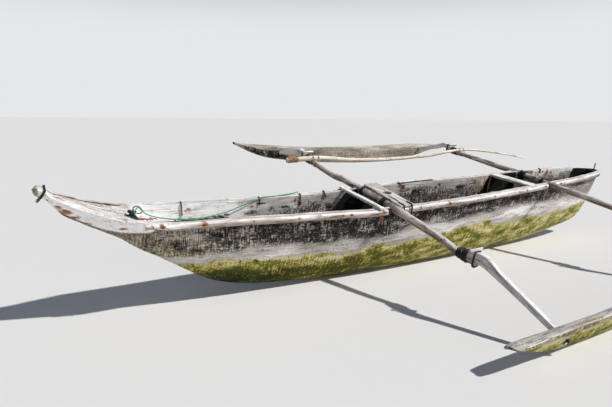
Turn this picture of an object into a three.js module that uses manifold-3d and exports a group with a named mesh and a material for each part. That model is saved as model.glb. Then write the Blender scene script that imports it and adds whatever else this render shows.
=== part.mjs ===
// A dugout canoe with an outrigger float on each side, drawn up on a beach.
// Lengths are in millimetres. The canoe is drawn upright, in its own frame:
// X runs aft from the fore boom, Y to starboard and Z up, with zero just inside
// the hull's bottom. It is then heeled to port until the hull and the port float
// stand on the same floor.
import * as THREE from "three";
import { mergeVertices } from "three/addons/utils/BufferGeometryUtils.js";
import Module from "manifold-3d";

const wasm = await Module();
wasm.setup();

const ROUND_SIDES = 12; // facets round a pole
const FIT = 0.3; // gap between a piece and what it is seated in or bound to
const PORT = -1;
const STARBOARD = 1;
const SIDES = { port: PORT, starboard: STARBOARD };

// Hull: stations from the bow knob to the stern. rim is the top of the wall,
// half the half beam there, wall its thickness and hollow the depth below it.
const HULL_FACETS = 20;
const hullStations = [
  // x, keel, rim, half, fullness, wall, hollow
  [-2385, 842, 878, 20, 1.6, 6, 0],
  [-2360, 826, 888, 36, 1.6, 10, 3],
  [-2325, 806, 872, 39, 1.5, 12, 4],
  [-2296, 768, 842, 42, 1.4, 12, 5],
  [-2246, 705, 818, 60, 1.4, 14, 8],
  [-2156, 645, 782, 84, 1.4, 18, 12],
  [-2048, 580, 738, 113, 1.4, 22, 16],
  [-1950, 520, 706, 136, 1.4, 25, 20],
  [-1895, 474, 691, 149, 1.4, 27, 26],
  [-1865, 450, 683, 155, 1.45, 28, 105],
  [-1790, 400, 666, 164, 1.5, 30, 190],
  [-1620, 284, 649, 164, 1.55, 30, 295],
  [-1451, 164, 641, 164, 1.8, 30, 410],
  [-1300, 86, 634, 166, 2.1, 30, 484],
  [-1050, 20, 619, 174, 2.5, 30, 536],
  [-705, -24, 603, 190, 2.8, 30, 572],
  [-400, -46, 592, 209, 2.9, 30, 580],
  [-250, -51, 586, 220, 3, 30, 580],
  [-144, -54, 586, 228, 3, 30, 582],
  [200, -62, 586, 240, 3.1, 30, 592],
  [700, -75, 586, 240, 3.2, 30, 605],
  [1200, -87, 586, 219, 3.2, 30, 616],
  [1542, -95, 590, 206, 3.1, 30, 626],
  [1800, -92, 596, 199, 3, 30, 628],
  [2129, -70, 603, 185, 2.8, 30, 612],
  [2450, -36, 604, 164, 2.6, 30, 580],
  [2700, -2, 605, 134, 2.4, 28, 546],
  [2900, 40, 604, 98, 2.2, 26, 494],
  [2975, 118, 602, 80, 2, 24, 330],
  [3005, 208, 601, 68, 1.8, 22, 20],
  [3060, 326, 597, 50, 1.6, 16, 8],
  [3110, 468, 592, 30, 1.5, 10, 4],
  [3132, 540, 588, 16, 1.5, 5, 2],
].map(([x, keel, rim, half, fullness, wall, hollow]) => ({ x, keel, rim, half, fullness, wall, hollow }));

// Strakes: half-round rails along the outside of the rim, broken at the booms.
const STRAKE_WIDTH = 46;
const STRAKE_DEPTH = 46;
const STRAKE_OFFSET = 13; // its centre line, outboard of the hull's side
const STRAKE_DROP = 25; // its centre line, below the rim
const strakeRuns = [
  // name, first x, last x
  ["fore", -1830, -66],
  ["mid", 60, 1925],
  ["aft", 2052, 3010],
].map(([name, first, last]) => ({ name, first, last }));

// Booms: round poles laid across the hull in notches, one forward and one aft.
// The top of each end is cut flat, and a strut's tongue is bound down on it.
const LAP = 172; // length of the flat
const LAP_FLAT = 10; // height of the flat above the boom's axis
const booms = [
  {
    name: "fore",
    x: 0,
    seatZ: 580,
    seatRadius: 30,
    axis: [
      // y, z, radius
      [-1078, 532, 20],
      [-906, 541, 23],
      [-728, 562, 26],
      [-437, 573, 30],
      [-260, 580, 30],
      [260, 580, 30],
      [421, 580, 30],
      [609, 563, 28],
      [815, 566, 26],
      [1008, 576, 24],
      [1180, 570, 22],
    ],
    lashings: [
      // y, length along the boom
      [-120, 60],
      [152, 44],
    ],
  },
  {
    name: "aft",
    x: 1990,
    seatZ: 580,
    seatRadius: 28,
    axis: [
      [-1078, 566, 20],
      [-906, 576, 23],
      [-800, 584, 25],
      [-502, 586, 28],
      [-260, 580, 28],
      [260, 580, 28],
      [406, 573, 28],
      [679, 564, 26],
      [1008, 557, 24],
      [1180, 550, 22],
    ],
    lashings: [
      [-112, 50],
      [112, 74],
    ],
  },
];

// Crossbars: short poles under the booms, their ends let into the hull's walls.
const CROSSBAR_RADIUS = 20;
const CROSSBAR_POCKET = 14;
const LASHING_THICKNESS = 8;

// Struts: deep arms from the boom ends out through the floats.
const strutRoot = [
  // distance past the boom's end, top above the boom's axis, width
  [2 - LAP, 26, 30],
  [-68, 54, 38],
  [-32, 70, 42],
  [0, 84, 42],
  [40, 88, 40],
].map(([past, top, width]) => ({ past, top, width }));
const strutArm = [
  // share of the way on to the float, depth, width
  [0.25, 55, 34],
  [0.6, 48, 33],
  [0.9, 42, 31],
  [1.09, 38, 28],
].map(([share, depth, width]) => ({ share, depth, width }));
const lapBands = [
  // name, first and last distance past the boom's end
  ["inner", -174, -68],
  ["outer", -32, -10],
].map(([name, first, last]) => ({ name, first, last }));
const ROOT_RISE = { port: 1, starboard: 0.72 }; // share of the root's rise over the flat
const BAND_SIDES = 12;
const CHOCK = { past: -49, width: 20, height: 20, fore: -36, aft: 82 };

// Floats: thick planks that lean outboard, with a raised or blunt tip at each
// end. Heights are up the plank from its middle line, at the corners of its section.
const FLOAT_Y = 1700;
const FLOAT_Z = 460;
const FLOAT_CANT = THREE.MathUtils.degToRad(15);
const FLOAT_CORNER = 9;
const floats = {
  port: {
    passes: { fore: -41, aft: -62 }, // height of each strut in the plank
    rows: [
      // x, inboard top, outboard top, inboard bottom, outboard bottom, thickness
      [-448, 6, 40, -16, 34, 64],
      [-400, 3, 37, -20, 20, 74],
      [-320, 3, 38, -44, -14, 78],
      [-200, 2, 48, -84, -66, 78],
      [-100, -2, 52, -106, -101, 78],
      [0, -5, 52, -125, -125, 78],
      [100, -9, 53, -137, -137, 78],
      [300, -14, 55, -151, -151, 78],
      [500, -13, 50, -158, -158, 78],
      [800, -12, 42, -162, -162, 78],
      [1100, -16, 34, -166, -166, 78],
      [1500, -20, 30, -168, -168, 78],
      [1800, -20, 28, -154, -154, 78],
      [2000, -20, 23, -122, -122, 76],
      [2200, -26, 8, -76, -76, 70],
      [2330, -35, -12, -60, -60, 52],
      [2400, -42, -30, -58, -58, 34],
    ],
  },
  starboard: {
    passes: { fore: 0, aft: -62 },
    rows: [
      [-520, 130, 138, 114, 114, 34],
      [-480, 124, 134, 98, 98, 52],
      [-420, 108, 124, 67, 67, 70],
      [-350, 94, 115, 31, 31, 78],
      [-250, 76, 106, -12, -12, 78],
      [-150, 62, 98, -43, -43, 78],
      [0, 44, 86, -72, -72, 78],
      [200, 28, 66, -99, -99, 78],
      [400, 16, 53, -122, -122, 78],
      [600, 4, 44, -141, -141, 78],
      [1000, -15, 31, -168, -168, 78],
      [1200, -22, 27, -175, -175, 78],
      [1400, -24, 28, -172, -172, 78],
      [1600, -19, 30, -162, -162, 78],
      [1800, -18, 29, -148, -148, 78],
      [2000, -20, 22, -118, -118, 76],
      [2200, -26, 8, -74, -74, 70],
      [2330, -36, -14, -60, -60, 52],
      [2400, -46, -34, -62, -62, 34],
    ],
  },
};

// Thwarts: boards across the hull.
const BOARD = 22;
const BOARD_BEVEL = 3;
const thwartFore = { y: [-262, 238], x: [-128, -172], width: 40 };
const thwartMast = { y: [-266, 236], x: [106, 122], width: 132 };
const thwartAft = { x: [1752, 1632], width: 112, top: 2, housing: 13 };
const MAST_HOLE = { x: 122, y: 6, radius: 36 };
const MAST_STEP = { length: 190, width: 150, top: 118, socketRadius: 34, socketDepth: 34 };

// Straps: thin strips over the mast thwart's port end and down the strake.
const STRAP = { width: 13, thickness: 3, xs: { fore: 66, aft: 146 } };
const strapPath = [
  // y, height above the thwart's top
  [-206, 0],
  [-267, 0],
  [-281, -30],
  [-281, -62],
];

// Pole: a long thin pole lashed along the starboard boom ends.
const poleAxis = [
  // x, y, z, radius
  [-292, 984, 609, 24],
  [-120, 966, 618, 23],
  [0, 955, 622, 22],
  [140, 957, 611, 21],
  [420, 962, 578, 20],
  [900, 966, 552, 18],
  [1450, 968, 558, 16],
  [1860, 970, 593, 15],
  [1990, 970, 596.6, 14],
  [2120, 970, 593, 13],
  [2450, 968, 556, 11],
  [2820, 964, 498, 9],
  [3180, 960, 432, 6],
];
const POLE_WRAP = { x: [-284, -176], thickness: 4 };
const TIE_CORD = 4; // radius of the cord that ties the pole to each boom

// Bow lashing, stern pin and rope.
const BOW_LASHING = { x: [-2352, -2328], thickness: 7 };
const STERN_PIN = { x: 3046, radius: 6, bottom: 560, top: 668 };
const ROPE = { radius: 4, bore: 8, boreStart: -1960 };
const ropePath = [
  [-1940, 10, 634],
  [-1890, 10, 634],
  [-1862, 12, 640],
  [-1846, 26, 662],
  [-1836, 46, 680],
  [-1818, 62, 678],
  [-1800, 66, 656],
  [-1776, 62, 630],
  [-1720, 58, 604],
  [-1640, 60, 580],
  [-1540, 66, 560],
  [-1430, 80, 547],
  [-1320, 96, 546],
  [-1200, 108, 562],
  [-1085, 122, 588],
  [-990, 137, 610],
  [-930, 149, 619.4],
  [-860, 162, 614.6],
  [-760, 178, 610.5],
  [-690, 193, 607],
  [-630, 211, 603],
  [-586, 236, 597],
  [-566, 254, 566],
  [-560, 254, 520],
];

const finishes = {
  bleachedWood: { color: 0xb9b4aa, roughness: 0.85 },
  hullWood: { color: 0x76716a, roughness: 0.9 },
  poleWood: { color: 0x6f6056, roughness: 0.8 },
  paleWood: { color: 0xcfcac0, roughness: 0.8 },
  floatWood: { color: 0x8f8f82, roughness: 0.9 },
  blackLashing: { color: 0x1b1c20, roughness: 0.7 },
  orangeLashing: { color: 0x9a6234, roughness: 0.8 },
  paleLashing: { color: 0xb5a88a, roughness: 0.8 },
  iron: { color: 0x2a2624, roughness: 0.7 },
  greenRope: { color: 0x1f9a68, roughness: 0.6 },
};

const canoe = new THREE.Group();

function addPiece(name, geometry, finish) {
  const material = new THREE.MeshStandardMaterial({ ...finishes[finish], metalness: 0 });
  const mesh = new THREE.Mesh(geometry, material);
  mesh.name = name;
  canoe.add(mesh);
  return mesh;
}

// Joins rings of points, all with the same even count, into one closed body.
// Each end is closed by a strip across its ring, so a U-shaped ring closes too.
function loft(rings) {
  const count = rings[0].length;
  const index = [];
  const quad = (a, b, c, d) => index.push(a, b, c, a, c, d);
  for (let ring = 0; ring < rings.length - 1; ring++) {
    const here = ring * count;
    const next = here + count;
    for (let i = 0; i < count; i++) {
      const j = (i + 1) % count;
      quad(here + i, here + j, next + j, next + i);
    }
  }
  const last = (rings.length - 1) * count;
  for (let i = 0; i < count / 2 - 1; i++) {
    const across = count - 1 - i;
    quad(across, across - 1, i + 1, i);
    quad(last + i, last + i + 1, last + across - 1, last + across);
  }
  const geometry = new THREE.BufferGeometry().setFromPoints(rings.flat());
  geometry.setIndex(volumeOf(geometry, index) > 0 ? index : index.reverse());
  return geometry;
}

function volumeOf(geometry, index) {
  const points = geometry.getAttribute("position");
  const corner = (i) => new THREE.Vector3().fromBufferAttribute(points, index[i]);
  let volume = 0;
  for (let i = 0; i < index.length; i += 3) {
    volume += corner(i).dot(corner(i + 1).cross(corner(i + 2))) / 6;
  }
  return volume;
}

function toSolid(geometry) {
  const bare = geometry.clone();
  bare.deleteAttribute("normal");
  bare.deleteAttribute("uv");
  const merged = mergeVertices(bare);
  return new wasm.Manifold(
    new wasm.Mesh({
      numProp: 3,
      vertProperties: new Float32Array(merged.getAttribute("position").array),
      triVerts: new Uint32Array(merged.getIndex().array),
    }),
  );
}

function toGeometry(solid) {
  const mesh = solid.getMesh();
  const geometry = new THREE.BufferGeometry();
  geometry.setAttribute("position", new THREE.BufferAttribute(mesh.vertProperties, 3));
  geometry.setIndex(new THREE.BufferAttribute(mesh.triVerts, 1));
  return geometry;
}

function cut(geometry, cutters) {
  return toGeometry(cutters.reduce((solid, cutter) => solid.subtract(toSolid(cutter)), toSolid(geometry)));
}

// A bar along a line of stations. outline(station) lists its section as pairs:
// across the line, level, and up from it.
function bar(stations, outline) {
  const points = stations.map(({ x, y, z }) => new THREE.Vector3(x, y, z));
  const up = new THREE.Vector3(0, 0, 1);
  const rings = points.map((point, i) => {
    const along = points[Math.min(i + 1, points.length - 1)].clone().sub(points[Math.max(i - 1, 0)]).normalize();
    const across = new THREE.Vector3().crossVectors(along, up).normalize();
    const above = new THREE.Vector3().crossVectors(across, along);
    return outline(stations[i]).map(([a, b]) => point.clone().addScaledVector(across, a).addScaledVector(above, b));
  });
  return loft(rings);
}

function tube(path, radius, sides, steps) {
  const section = new THREE.Shape(circle(radius, sides).map(([a, b]) => new THREE.Vector2(a, b)));
  return new THREE.ExtrudeGeometry(section, { steps, extrudePath: path });
}

function circle(radius, sides = ROUND_SIDES) {
  return Array.from({ length: sides }, (_, i) => {
    const angle = (2 * Math.PI * (i + 0.5)) / sides;
    return [radius * Math.cos(angle), radius * Math.sin(angle)];
  });
}

// An eight-sided section: a rectangle with its corners cut off.
function chamfered(width, depth, corner) {
  const [a, b] = [width / 2, depth / 2];
  return [
    [a, -b + corner], [a, b - corner], [a - corner, b], [-a + corner, b],
    [-a, b - corner], [-a, -b + corner], [-a + corner, -b], [a - corner, -b],
  ];
}

// Value of one column of a table of rows, straight between and past the rows.
function between(rows, key, column, value) {
  const found = rows.findIndex((row) => row[key] >= value);
  const after = found < 0 ? rows.length - 1 : Math.max(1, found);
  const [low, high] = [rows[after - 1], rows[after]];
  return THREE.MathUtils.lerp(low[column], high[column], (value - low[key]) / (high[key] - low[key]));
}

const hullAt = (column, x) => between(hullStations, "x", column, x);

function hullCurve(half, top, bottom, fullness) {
  return Array.from({ length: HULL_FACETS + 1 }, (_, i) => {
    const angle = (Math.PI * i) / HULL_FACETS;
    return [-half * Math.cos(angle), top - (top - bottom) * Math.sin(angle) ** (2 / fullness)];
  });
}

// The hull's outside, filled in level with the rim and grown by a margin.
function hullEnvelope(margin, stations = hullStations) {
  return loft(
    stations.map(({ x, keel, rim, half, fullness }) => {
      const outside = hullCurve(half + margin, rim, keel - margin, fullness);
      const lid = hullCurve(half + margin, rim + 60, rim + 60, fullness).reverse();
      return [...outside, ...lid].map(([y, z]) => new THREE.Vector3(x, y, z));
    }),
  );
}

function hollowSolid(margin) {
  return loft(
    hullStations.map(({ x, rim, half, fullness, wall, hollow }) => {
      const inside = hullCurve(half - wall - margin, rim, rim - hollow + margin, fullness).reverse();
      const lid = hullCurve(half - wall - margin, rim + 60, rim + 60, fullness);
      return [...inside, ...lid].map(([y, z]) => new THREE.Vector3(x, y, z));
    }),
  );
}

function boomStations(boom) {
  return boom.axis.map(([y, z, radius]) => ({ x: boom.x, y, z, radius }));
}

const boomZ = (boom, y) => between(boomStations(boom), "y", "z", y);
const boomRadius = (boom, y) => between(boomStations(boom), "y", "radius", y);

// The lap of a boom on one side: its outer end and its inner end.
function lapOf(boom, side) {
  const end = side === PORT ? boom.axis[0][0] : boom.axis.at(-1)[0];
  return { end, start: end - side * LAP };
}

// Height of the lap's straight line over any y, in line with the boom's end.
function lapZ(boom, side, y) {
  const { start, end } = lapOf(boom, side);
  return THREE.MathUtils.mapLinear(y, start, end, boomZ(boom, start), boomZ(boom, end));
}

function lapCutter(boom, side) {
  const { end, start } = lapOf(boom, side);
  const outline = () => [[60, LAP_FLAT], [60, 80], [-60, 80], [-60, LAP_FLAT]];
  const ends = [start, end + side * 40].sort((a, b) => a - b);
  return bar(ends.map((y) => ({ x: boom.x, y, z: lapZ(boom, side, y) })), outline);
}

function crossbarStations(boom, grow) {
  const z = boom.seatZ - boom.seatRadius - FIT - CROSSBAR_RADIUS;
  const reach = hullAt("half", boom.x) - hullAt("wall", boom.x) + CROSSBAR_POCKET + grow;
  return [-reach, reach].map((y) => ({ x: boom.x, y, z }));
}

function boomNotch(boom) {
  const radius = boom.seatRadius + FIT;
  const shape = new THREE.Shape();
  shape.moveTo(radius, 80);
  shape.lineTo(radius, 0);
  shape.absarc(0, 0, radius, 0, -Math.PI, true);
  shape.lineTo(-radius, 80);
  const notch = new THREE.ExtrudeGeometry(shape, { depth: 600, bevelEnabled: false, curveSegments: 10 });
  return notch.translate(0, 0, -300).rotateX(Math.PI / 2).translate(boom.x, 0, boom.seatZ);
}

// A board across the hull, its two ends square to Y even where it runs askew.
function board({ x, y }, width, bottom, top, grow = 0) {
  const half = width / 2 + grow;
  const corners = [
    [x[0] - half, y[0] - grow],
    [x[0] + half, y[0] - grow],
    [x[1] + half, y[1] + grow],
    [x[1] - half, y[1] + grow],
  ];
  const shape = new THREE.Shape(corners.map((corner) => new THREE.Vector2(...corner)));
  const bevel = { bevelSize: BOARD_BEVEL, bevelThickness: BOARD_BEVEL, bevelOffset: -BOARD_BEVEL, bevelSegments: 1 };
  const depth = top - bottom + 2 * (grow - BOARD_BEVEL);
  return new THREE.ExtrudeGeometry(shape, { depth, ...bevel }).translate(0, 0, bottom - grow + BOARD_BEVEL);
}

function aftThwart(grow) {
  const { x, width, top, housing } = thwartAft;
  const middle = (x[0] + x[1]) / 2;
  const reach = hullAt("half", middle) - hullAt("wall", middle) + housing;
  const surface = hullAt("rim", middle) + top;
  return board({ x, y: [-reach, reach] }, width, surface - BOARD - 4, surface, grow);
}

function upright(x, y, radius, bottom, top, sides = 16) {
  const cylinder = new THREE.CylinderGeometry(radius, radius, top - bottom, sides);
  return cylinder.rotateX(Math.PI / 2).translate(x, y, (bottom + top) / 2);
}

function addHull() {
  const shell = loft(
    hullStations.map(({ x, keel, rim, half, fullness, wall, hollow }) => {
      const outside = hullCurve(half, rim, keel, fullness);
      const inside = hullCurve(half - wall, rim, rim - hollow, fullness).reverse();
      return [...outside, ...inside].map(([y, z]) => new THREE.Vector3(x, y, z));
    }),
  );
  const ropeBore = bar(
    [ROPE.boreStart, -1830].map((x) => ({ x, y: ropePath[0][1], z: ropePath[0][2] })),
    () => circle(ROPE.bore, 8),
  );
  const cutters = [
    ...booms.map(boomNotch),
    ...booms.map((boom) => bar(crossbarStations(boom, FIT), () => circle(CROSSBAR_RADIUS + FIT))),
    aftThwart(FIT),
    upright(STERN_PIN.x, 0, STERN_PIN.radius + FIT, STERN_PIN.bottom - FIT, STERN_PIN.top, 8),
    ropeBore,
  ];
  addPiece("hull", cut(shell, cutters), "hullWood");
}

function addStrakes() {
  const envelope = hullEnvelope(FIT);
  for (const [sideName, side] of Object.entries(SIDES)) {
    for (const { name, first, last } of strakeRuns) {
      const inner = hullStations.map(({ x }) => x).filter((x) => x > first + 20 && x < last - 20);
      const stations = [first, ...inner, last].map((x) => ({
        x,
        y: side * (hullAt("half", x) + STRAKE_OFFSET),
        z: hullAt("rim", x) - STRAKE_DROP,
      }));
      const rail = bar(stations, () => chamfered(STRAKE_WIDTH, STRAKE_DEPTH, 13));
      addPiece(`strake_${sideName}_${name}`, cut(rail, [envelope]), "bleachedWood");
    }
  }
}

function addThwarts() {
  const seat = hullAt("rim", 0) + FIT;
  addPiece("thwart_fore", board(thwartFore, thwartFore.width, seat, seat + BOARD), "paleWood");
  const mastBoard = board(thwartMast, thwartMast.width, seat, seat + BOARD);
  const hole = upright(MAST_HOLE.x, MAST_HOLE.y, MAST_HOLE.radius, seat - 20, seat + BOARD + 20);
  addPiece("thwart_mast", cut(mastBoard, [hole]), "bleachedWood");
  addPiece("thwart_aft", aftThwart(0), "bleachedWood");
}

// The mast step is a block on the hull's floor with a round socket in its top.
function addMastStep() {
  const { length, width, top, socketRadius, socketDepth } = MAST_STEP;
  const block = new THREE.BoxGeometry(length, width, top).translate(MAST_HOLE.x, 0, top / 2);
  const socket = upright(MAST_HOLE.x, MAST_HOLE.y, socketRadius, top - socketDepth, top + 20);
  const fitted = toSolid(block).intersect(toSolid(hollowSolid(FIT)));
  addPiece("mast_step", toGeometry(fitted.subtract(toSolid(socket))), "hullWood");
}

// A flat strip's outline: the path, and the path again moved out by thickness.
function ribbon(path, thickness) {
  const points = path.map(([y, z]) => new THREE.Vector2(y, z));
  const normals = points.slice(1).map((point, i) => {
    const run = point.clone().sub(points[i]).normalize();
    return new THREE.Vector2(run.y, -run.x);
  });
  const outer = points.map((point, i) => {
    const [before, after] = [normals[Math.max(i - 1, 0)], normals[Math.min(i, normals.length - 1)]];
    const mitre = before.clone().add(after).normalize();
    return point.clone().addScaledVector(mitre, -thickness / mitre.dot(after));
  });
  return [...points, ...outer.reverse()];
}

function addStraps() {
  const thwartTop = hullAt("rim", 0) + BOARD + 2 * FIT;
  for (const [name, x] of Object.entries(STRAP.xs)) {
    const path = strapPath.map(([y, z]) => [y, z + thwartTop]);
    const rings = [-STRAP.width / 2, STRAP.width / 2].map((offset) =>
      ribbon(path, -STRAP.thickness).map((point) => new THREE.Vector3(x + offset, point.x, point.y)),
    );
    addPiece(`strap_${name}`, loft(rings), "blackLashing");
  }
}

function addBooms() {
  for (const boom of booms) {
    const pole = bar(boomStations(boom), ({ radius }) => circle(radius));
    const cutters = Object.values(SIDES).map((side) => lapCutter(boom, side));
    addPiece(`boom_${boom.name}`, cut(pole, cutters), "poleWood");
    const crossbar = bar(crossbarStations(boom, 0), () => circle(CROSSBAR_RADIUS));
    addPiece(`crossbar_${boom.name}`, crossbar, "poleWood");
  }
}

// The sections of a strut, upright ones, as a list from its tongue outwards.
// It lies on the boom's flat, and past the boom's end it drops to the float.
function strutRows(boom, side) {
  const sideName = side === PORT ? "port" : "starboard";
  const { end } = lapOf(boom, side);
  const rows = strutRoot.map(({ past, top, width }) => {
    const y = end + side * past;
    const line = lapZ(boom, side, y);
    const high = line + THREE.MathUtils.lerp(LAP_FLAT, top, ROOT_RISE[sideName]);
    return { y, low: line + LAP_FLAT + FIT, high, width };
  });
  const bend = rows.at(-1);
  const height = floats[sideName].passes[boom.name];
  const [floatY, floatZ] = onFloat(side, 0, height);
  for (const { share, depth, width } of strutArm) {
    const centre = THREE.MathUtils.lerp((bend.low + bend.high) / 2, floatZ, share);
    rows.push({
      y: THREE.MathUtils.lerp(bend.y, floatY, share),
      low: centre - depth / 2,
      high: centre + depth / 2,
      width,
    });
  }
  return rows;
}

// One section of a strut: its corners as pairs, along X from the boom and up.
function strutSection({ low, high, width }, grow = 0) {
  const section = chamfered(width + 2 * grow, high - low + 2 * grow, 6);
  return section.map(([across, up]) => [across, up + (low + high) / 2]);
}

function strut(boom, side, grow = 0) {
  const rows = strutRows(boom, side);
  return loft(
    rows.map((row) => strutSection(row, grow).map(([across, z]) => new THREE.Vector3(boom.x + across, row.y, z))),
  );
}

function addStruts() {
  for (const boom of booms) {
    for (const [sideName, side] of Object.entries(SIDES)) {
      addPiece(`strut_${sideName}_${boom.name}`, strut(boom, side), "paleWood");
    }
  }
}

// A point of a float's section, out from the plank's middle and up along it.
function onFloat(side, out, up) {
  const [s, c] = [Math.sin(FLOAT_CANT), Math.cos(FLOAT_CANT)];
  return [side * (FLOAT_Y + up * s + out * c), FLOAT_Z + up * c - out * s];
}

function addFloats() {
  for (const [sideName, side] of Object.entries(SIDES)) {
    const rings = floats[sideName].rows.map(([x, inTop, outTop, inBottom, outBottom, thickness]) => {
      const half = thickness / 2;
      const corner = Math.min(FLOAT_CORNER, (inTop - inBottom) / 3, (outTop - outBottom) / 3);
      const topRise = ((outTop - inTop) * corner) / thickness;
      const bottomRise = ((outBottom - inBottom) * corner) / thickness;
      const section = [
        [-half, inBottom + corner],
        [-half, inTop - corner],
        [-half + corner, inTop + topRise],
        [half - corner, outTop - topRise],
        [half, outTop - corner],
        [half, outBottom + corner],
        [half - corner, outBottom - bottomRise],
        [-half + corner, inBottom + bottomRise],
      ];
      return section.map(([out, up]) => new THREE.Vector3(x, ...onFloat(side, out, up)));
    });
    const mortises = booms.map((boom) => strut(boom, side, FIT));
    addPiece(`float_${sideName}`, cut(loft(rings), mortises), "floatWood");
  }
}

// Outline of a cord drawn tight round two circles, one above the other.
function roundTwo(upperRadius, lowerRadius, distance, grow) {
  const lean = Math.asin((upperRadius - lowerRadius) / distance);
  const path = new THREE.Path();
  path.absarc(0, 0, upperRadius + grow, -lean, Math.PI + lean, false);
  path.absarc(0, -distance, lowerRadius + grow, Math.PI + lean, 2 * Math.PI - lean, false);
  path.closePath();
  return path.getPoints(6);
}

// A closed band round two parallel bars, lying across the way they run.
function band(x, y, z, slope, length, thickness, radii, distance) {
  const shape = new THREE.Shape(roundTwo(...radii, distance, 2 * FIT + thickness));
  shape.holes.push(new THREE.Path(roundTwo(...radii, distance, 2 * FIT)));
  const ring = new THREE.ExtrudeGeometry(shape, { depth: length, bevelEnabled: false });
  return ring.translate(0, 0, -length / 2).rotateX(Math.PI / 2 + slope).translate(x, y, z);
}

function addHullLashings() {
  for (const boom of booms) {
    const radii = [boom.seatRadius, CROSSBAR_RADIUS];
    const distance = boom.seatRadius + CROSSBAR_RADIUS + FIT;
    for (const [y, length] of boom.lashings) {
      const ring = band(boom.x, y, boom.seatZ, 0, length, LASHING_THICKNESS, radii, distance);
      addPiece(`hull_lashing_${boom.name}_${y < 0 ? "port" : "starboard"}`, ring, "blackLashing");
    }
  }
}

// A polygon drawn tight round a set of points, at a margin from them.
function tightRound(points, margin) {
  const step = (2 * Math.PI) / BAND_SIDES;
  const reach = (i) => {
    const [c, s] = [Math.cos(i * step), Math.sin(i * step)];
    return margin + Math.max(...points.map(([a, b]) => a * c + b * s));
  };
  return Array.from({ length: BAND_SIDES }, (_, i) => {
    const [here, next] = [reach(i), reach(i + 1)];
    return [
      (here * Math.sin((i + 1) * step) - next * Math.sin(i * step)) / Math.sin(step),
      (next * Math.cos(i * step) - here * Math.cos((i + 1) * step)) / Math.sin(step),
    ];
  });
}

// What a lap band goes round at y: the boom's section and the strut's.
function lapOutline(boom, side, y) {
  const rows = strutRows(boom, side).sort((a, b) => a.y - b.y);
  const at = (column) => between(rows, "y", column, y);
  const pole = circle(boomRadius(boom, y)).map(([across, up]) => [across, up + boomZ(boom, y)]);
  return [...pole, ...strutSection({ low: at("low"), high: at("high"), width: at("width") })];
}

function lapBand(boom, side, ends, margin) {
  return loft(
    ends.map((y) => {
      const outline = tightRound(lapOutline(boom, side, y), margin);
      return outline.map(([across, z]) => new THREE.Vector3(boom.x + across, y, z));
    }),
  );
}

// Two bands hold each lap, with a small chock laid across between them.
function addLaps() {
  for (const boom of booms) {
    for (const [sideName, side] of Object.entries(SIDES)) {
      const { end } = lapOf(boom, side);
      for (const { name, first, last } of lapBands) {
        const outside = lapBand(boom, side, [end + side * first, end + side * last], 2 * FIT + LASHING_THICKNESS);
        const core = lapBand(boom, side, [end + side * (first - 2), end + side * (last + 2)], 2 * FIT);
        addPiece(`lap_lashing_${sideName}_${boom.name}_${name}`, cut(outside, [core]), "blackLashing");
      }
      addPiece(`chock_${sideName}_${boom.name}`, chock(boom, side, end + side * CHOCK.past), "paleWood");
    }
  }
}

function chock(boom, side, y) {
  const rows = strutRows(boom, side).sort((a, b) => a.y - b.y);
  const [here, next] = [y, y + 1].map((at) => between(rows, "y", "high", at));
  const ends = [CHOCK.fore, CHOCK.aft].map((x) => ({ x, y: 0, z: FIT + CHOCK.height / 2 }));
  const peg = bar(ends, () => chamfered(CHOCK.width, CHOCK.height, 4));
  return peg.rotateX(Math.atan(next - here)).translate(boom.x, y, here);
}

const POLE_SIDES = 10;
const poleStations = poleAxis.map(([x, y, z, radius]) => ({ x, y, z, radius }));
const poleAt = (column, x) => between(poleStations, "x", column, x);

function addPole() {
  addPiece("pole", bar(poleStations, ({ radius }) => circle(radius, POLE_SIDES)), "paleWood");
  const wrapped = POLE_WRAP.x.map((x) => ({ x, y: poleAt("y", x), z: poleAt("z", x), radius: poleAt("radius", x) }));
  const sleeve = bar(wrapped, ({ radius }) => circle(radius + POLE_WRAP.thickness, POLE_SIDES));
  const core = bar(poleStations, ({ radius }) => circle(radius + FIT, POLE_SIDES));
  addPiece("pole_wrap", cut(sleeve, [core]), "orangeLashing");
  for (const boom of booms) {
    addPiece(`pole_tie_${boom.name}`, squareTie(boom), "paleLashing");
  }
}

// One turn of cord that goes over the pole on both sides of the boom, and
// under the boom on both sides of the pole. Its two ends meet under the boom.
function squareTie(boom) {
  const poleY = poleAt("y", boom.x);
  const clearance = TIE_CORD + 1.4;
  const out = boomRadius(boom, poleY) + clearance;
  const over = poleAt("radius", boom.x) + clearance;
  const arc = (from, to, place) => {
    const steps = Math.ceil(Math.abs(to - from) / 36);
    return Array.from({ length: steps + 1 }, (_, i) => {
      const angle = THREE.MathUtils.degToRad(from + ((to - from) * i) / steps);
      return place(Math.cos(angle), Math.sin(angle));
    });
  };
  const underBoom = (side) => (c, s) => {
    const y = poleY + side * over;
    return new THREE.Vector3(boom.x + out * c, y, boomZ(boom, y) + out * s);
  };
  const overPole = (end) => (c, s) => {
    const x = boom.x + end * out;
    return new THREE.Vector3(x, poleAt("y", x) + over * c, poleAt("z", x) + over * s);
  };
  const path = new THREE.CatmullRomCurve3([
    ...arc(-88, 0, underBoom(1)),
    ...arc(0, 180, overPole(1)),
    ...arc(0, -180, underBoom(-1)),
    ...arc(180, 0, overPole(-1)),
    ...arc(-180, -92, underBoom(1)),
  ]);
  return tube(path, TIE_CORD, 6, 52);
}

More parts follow.
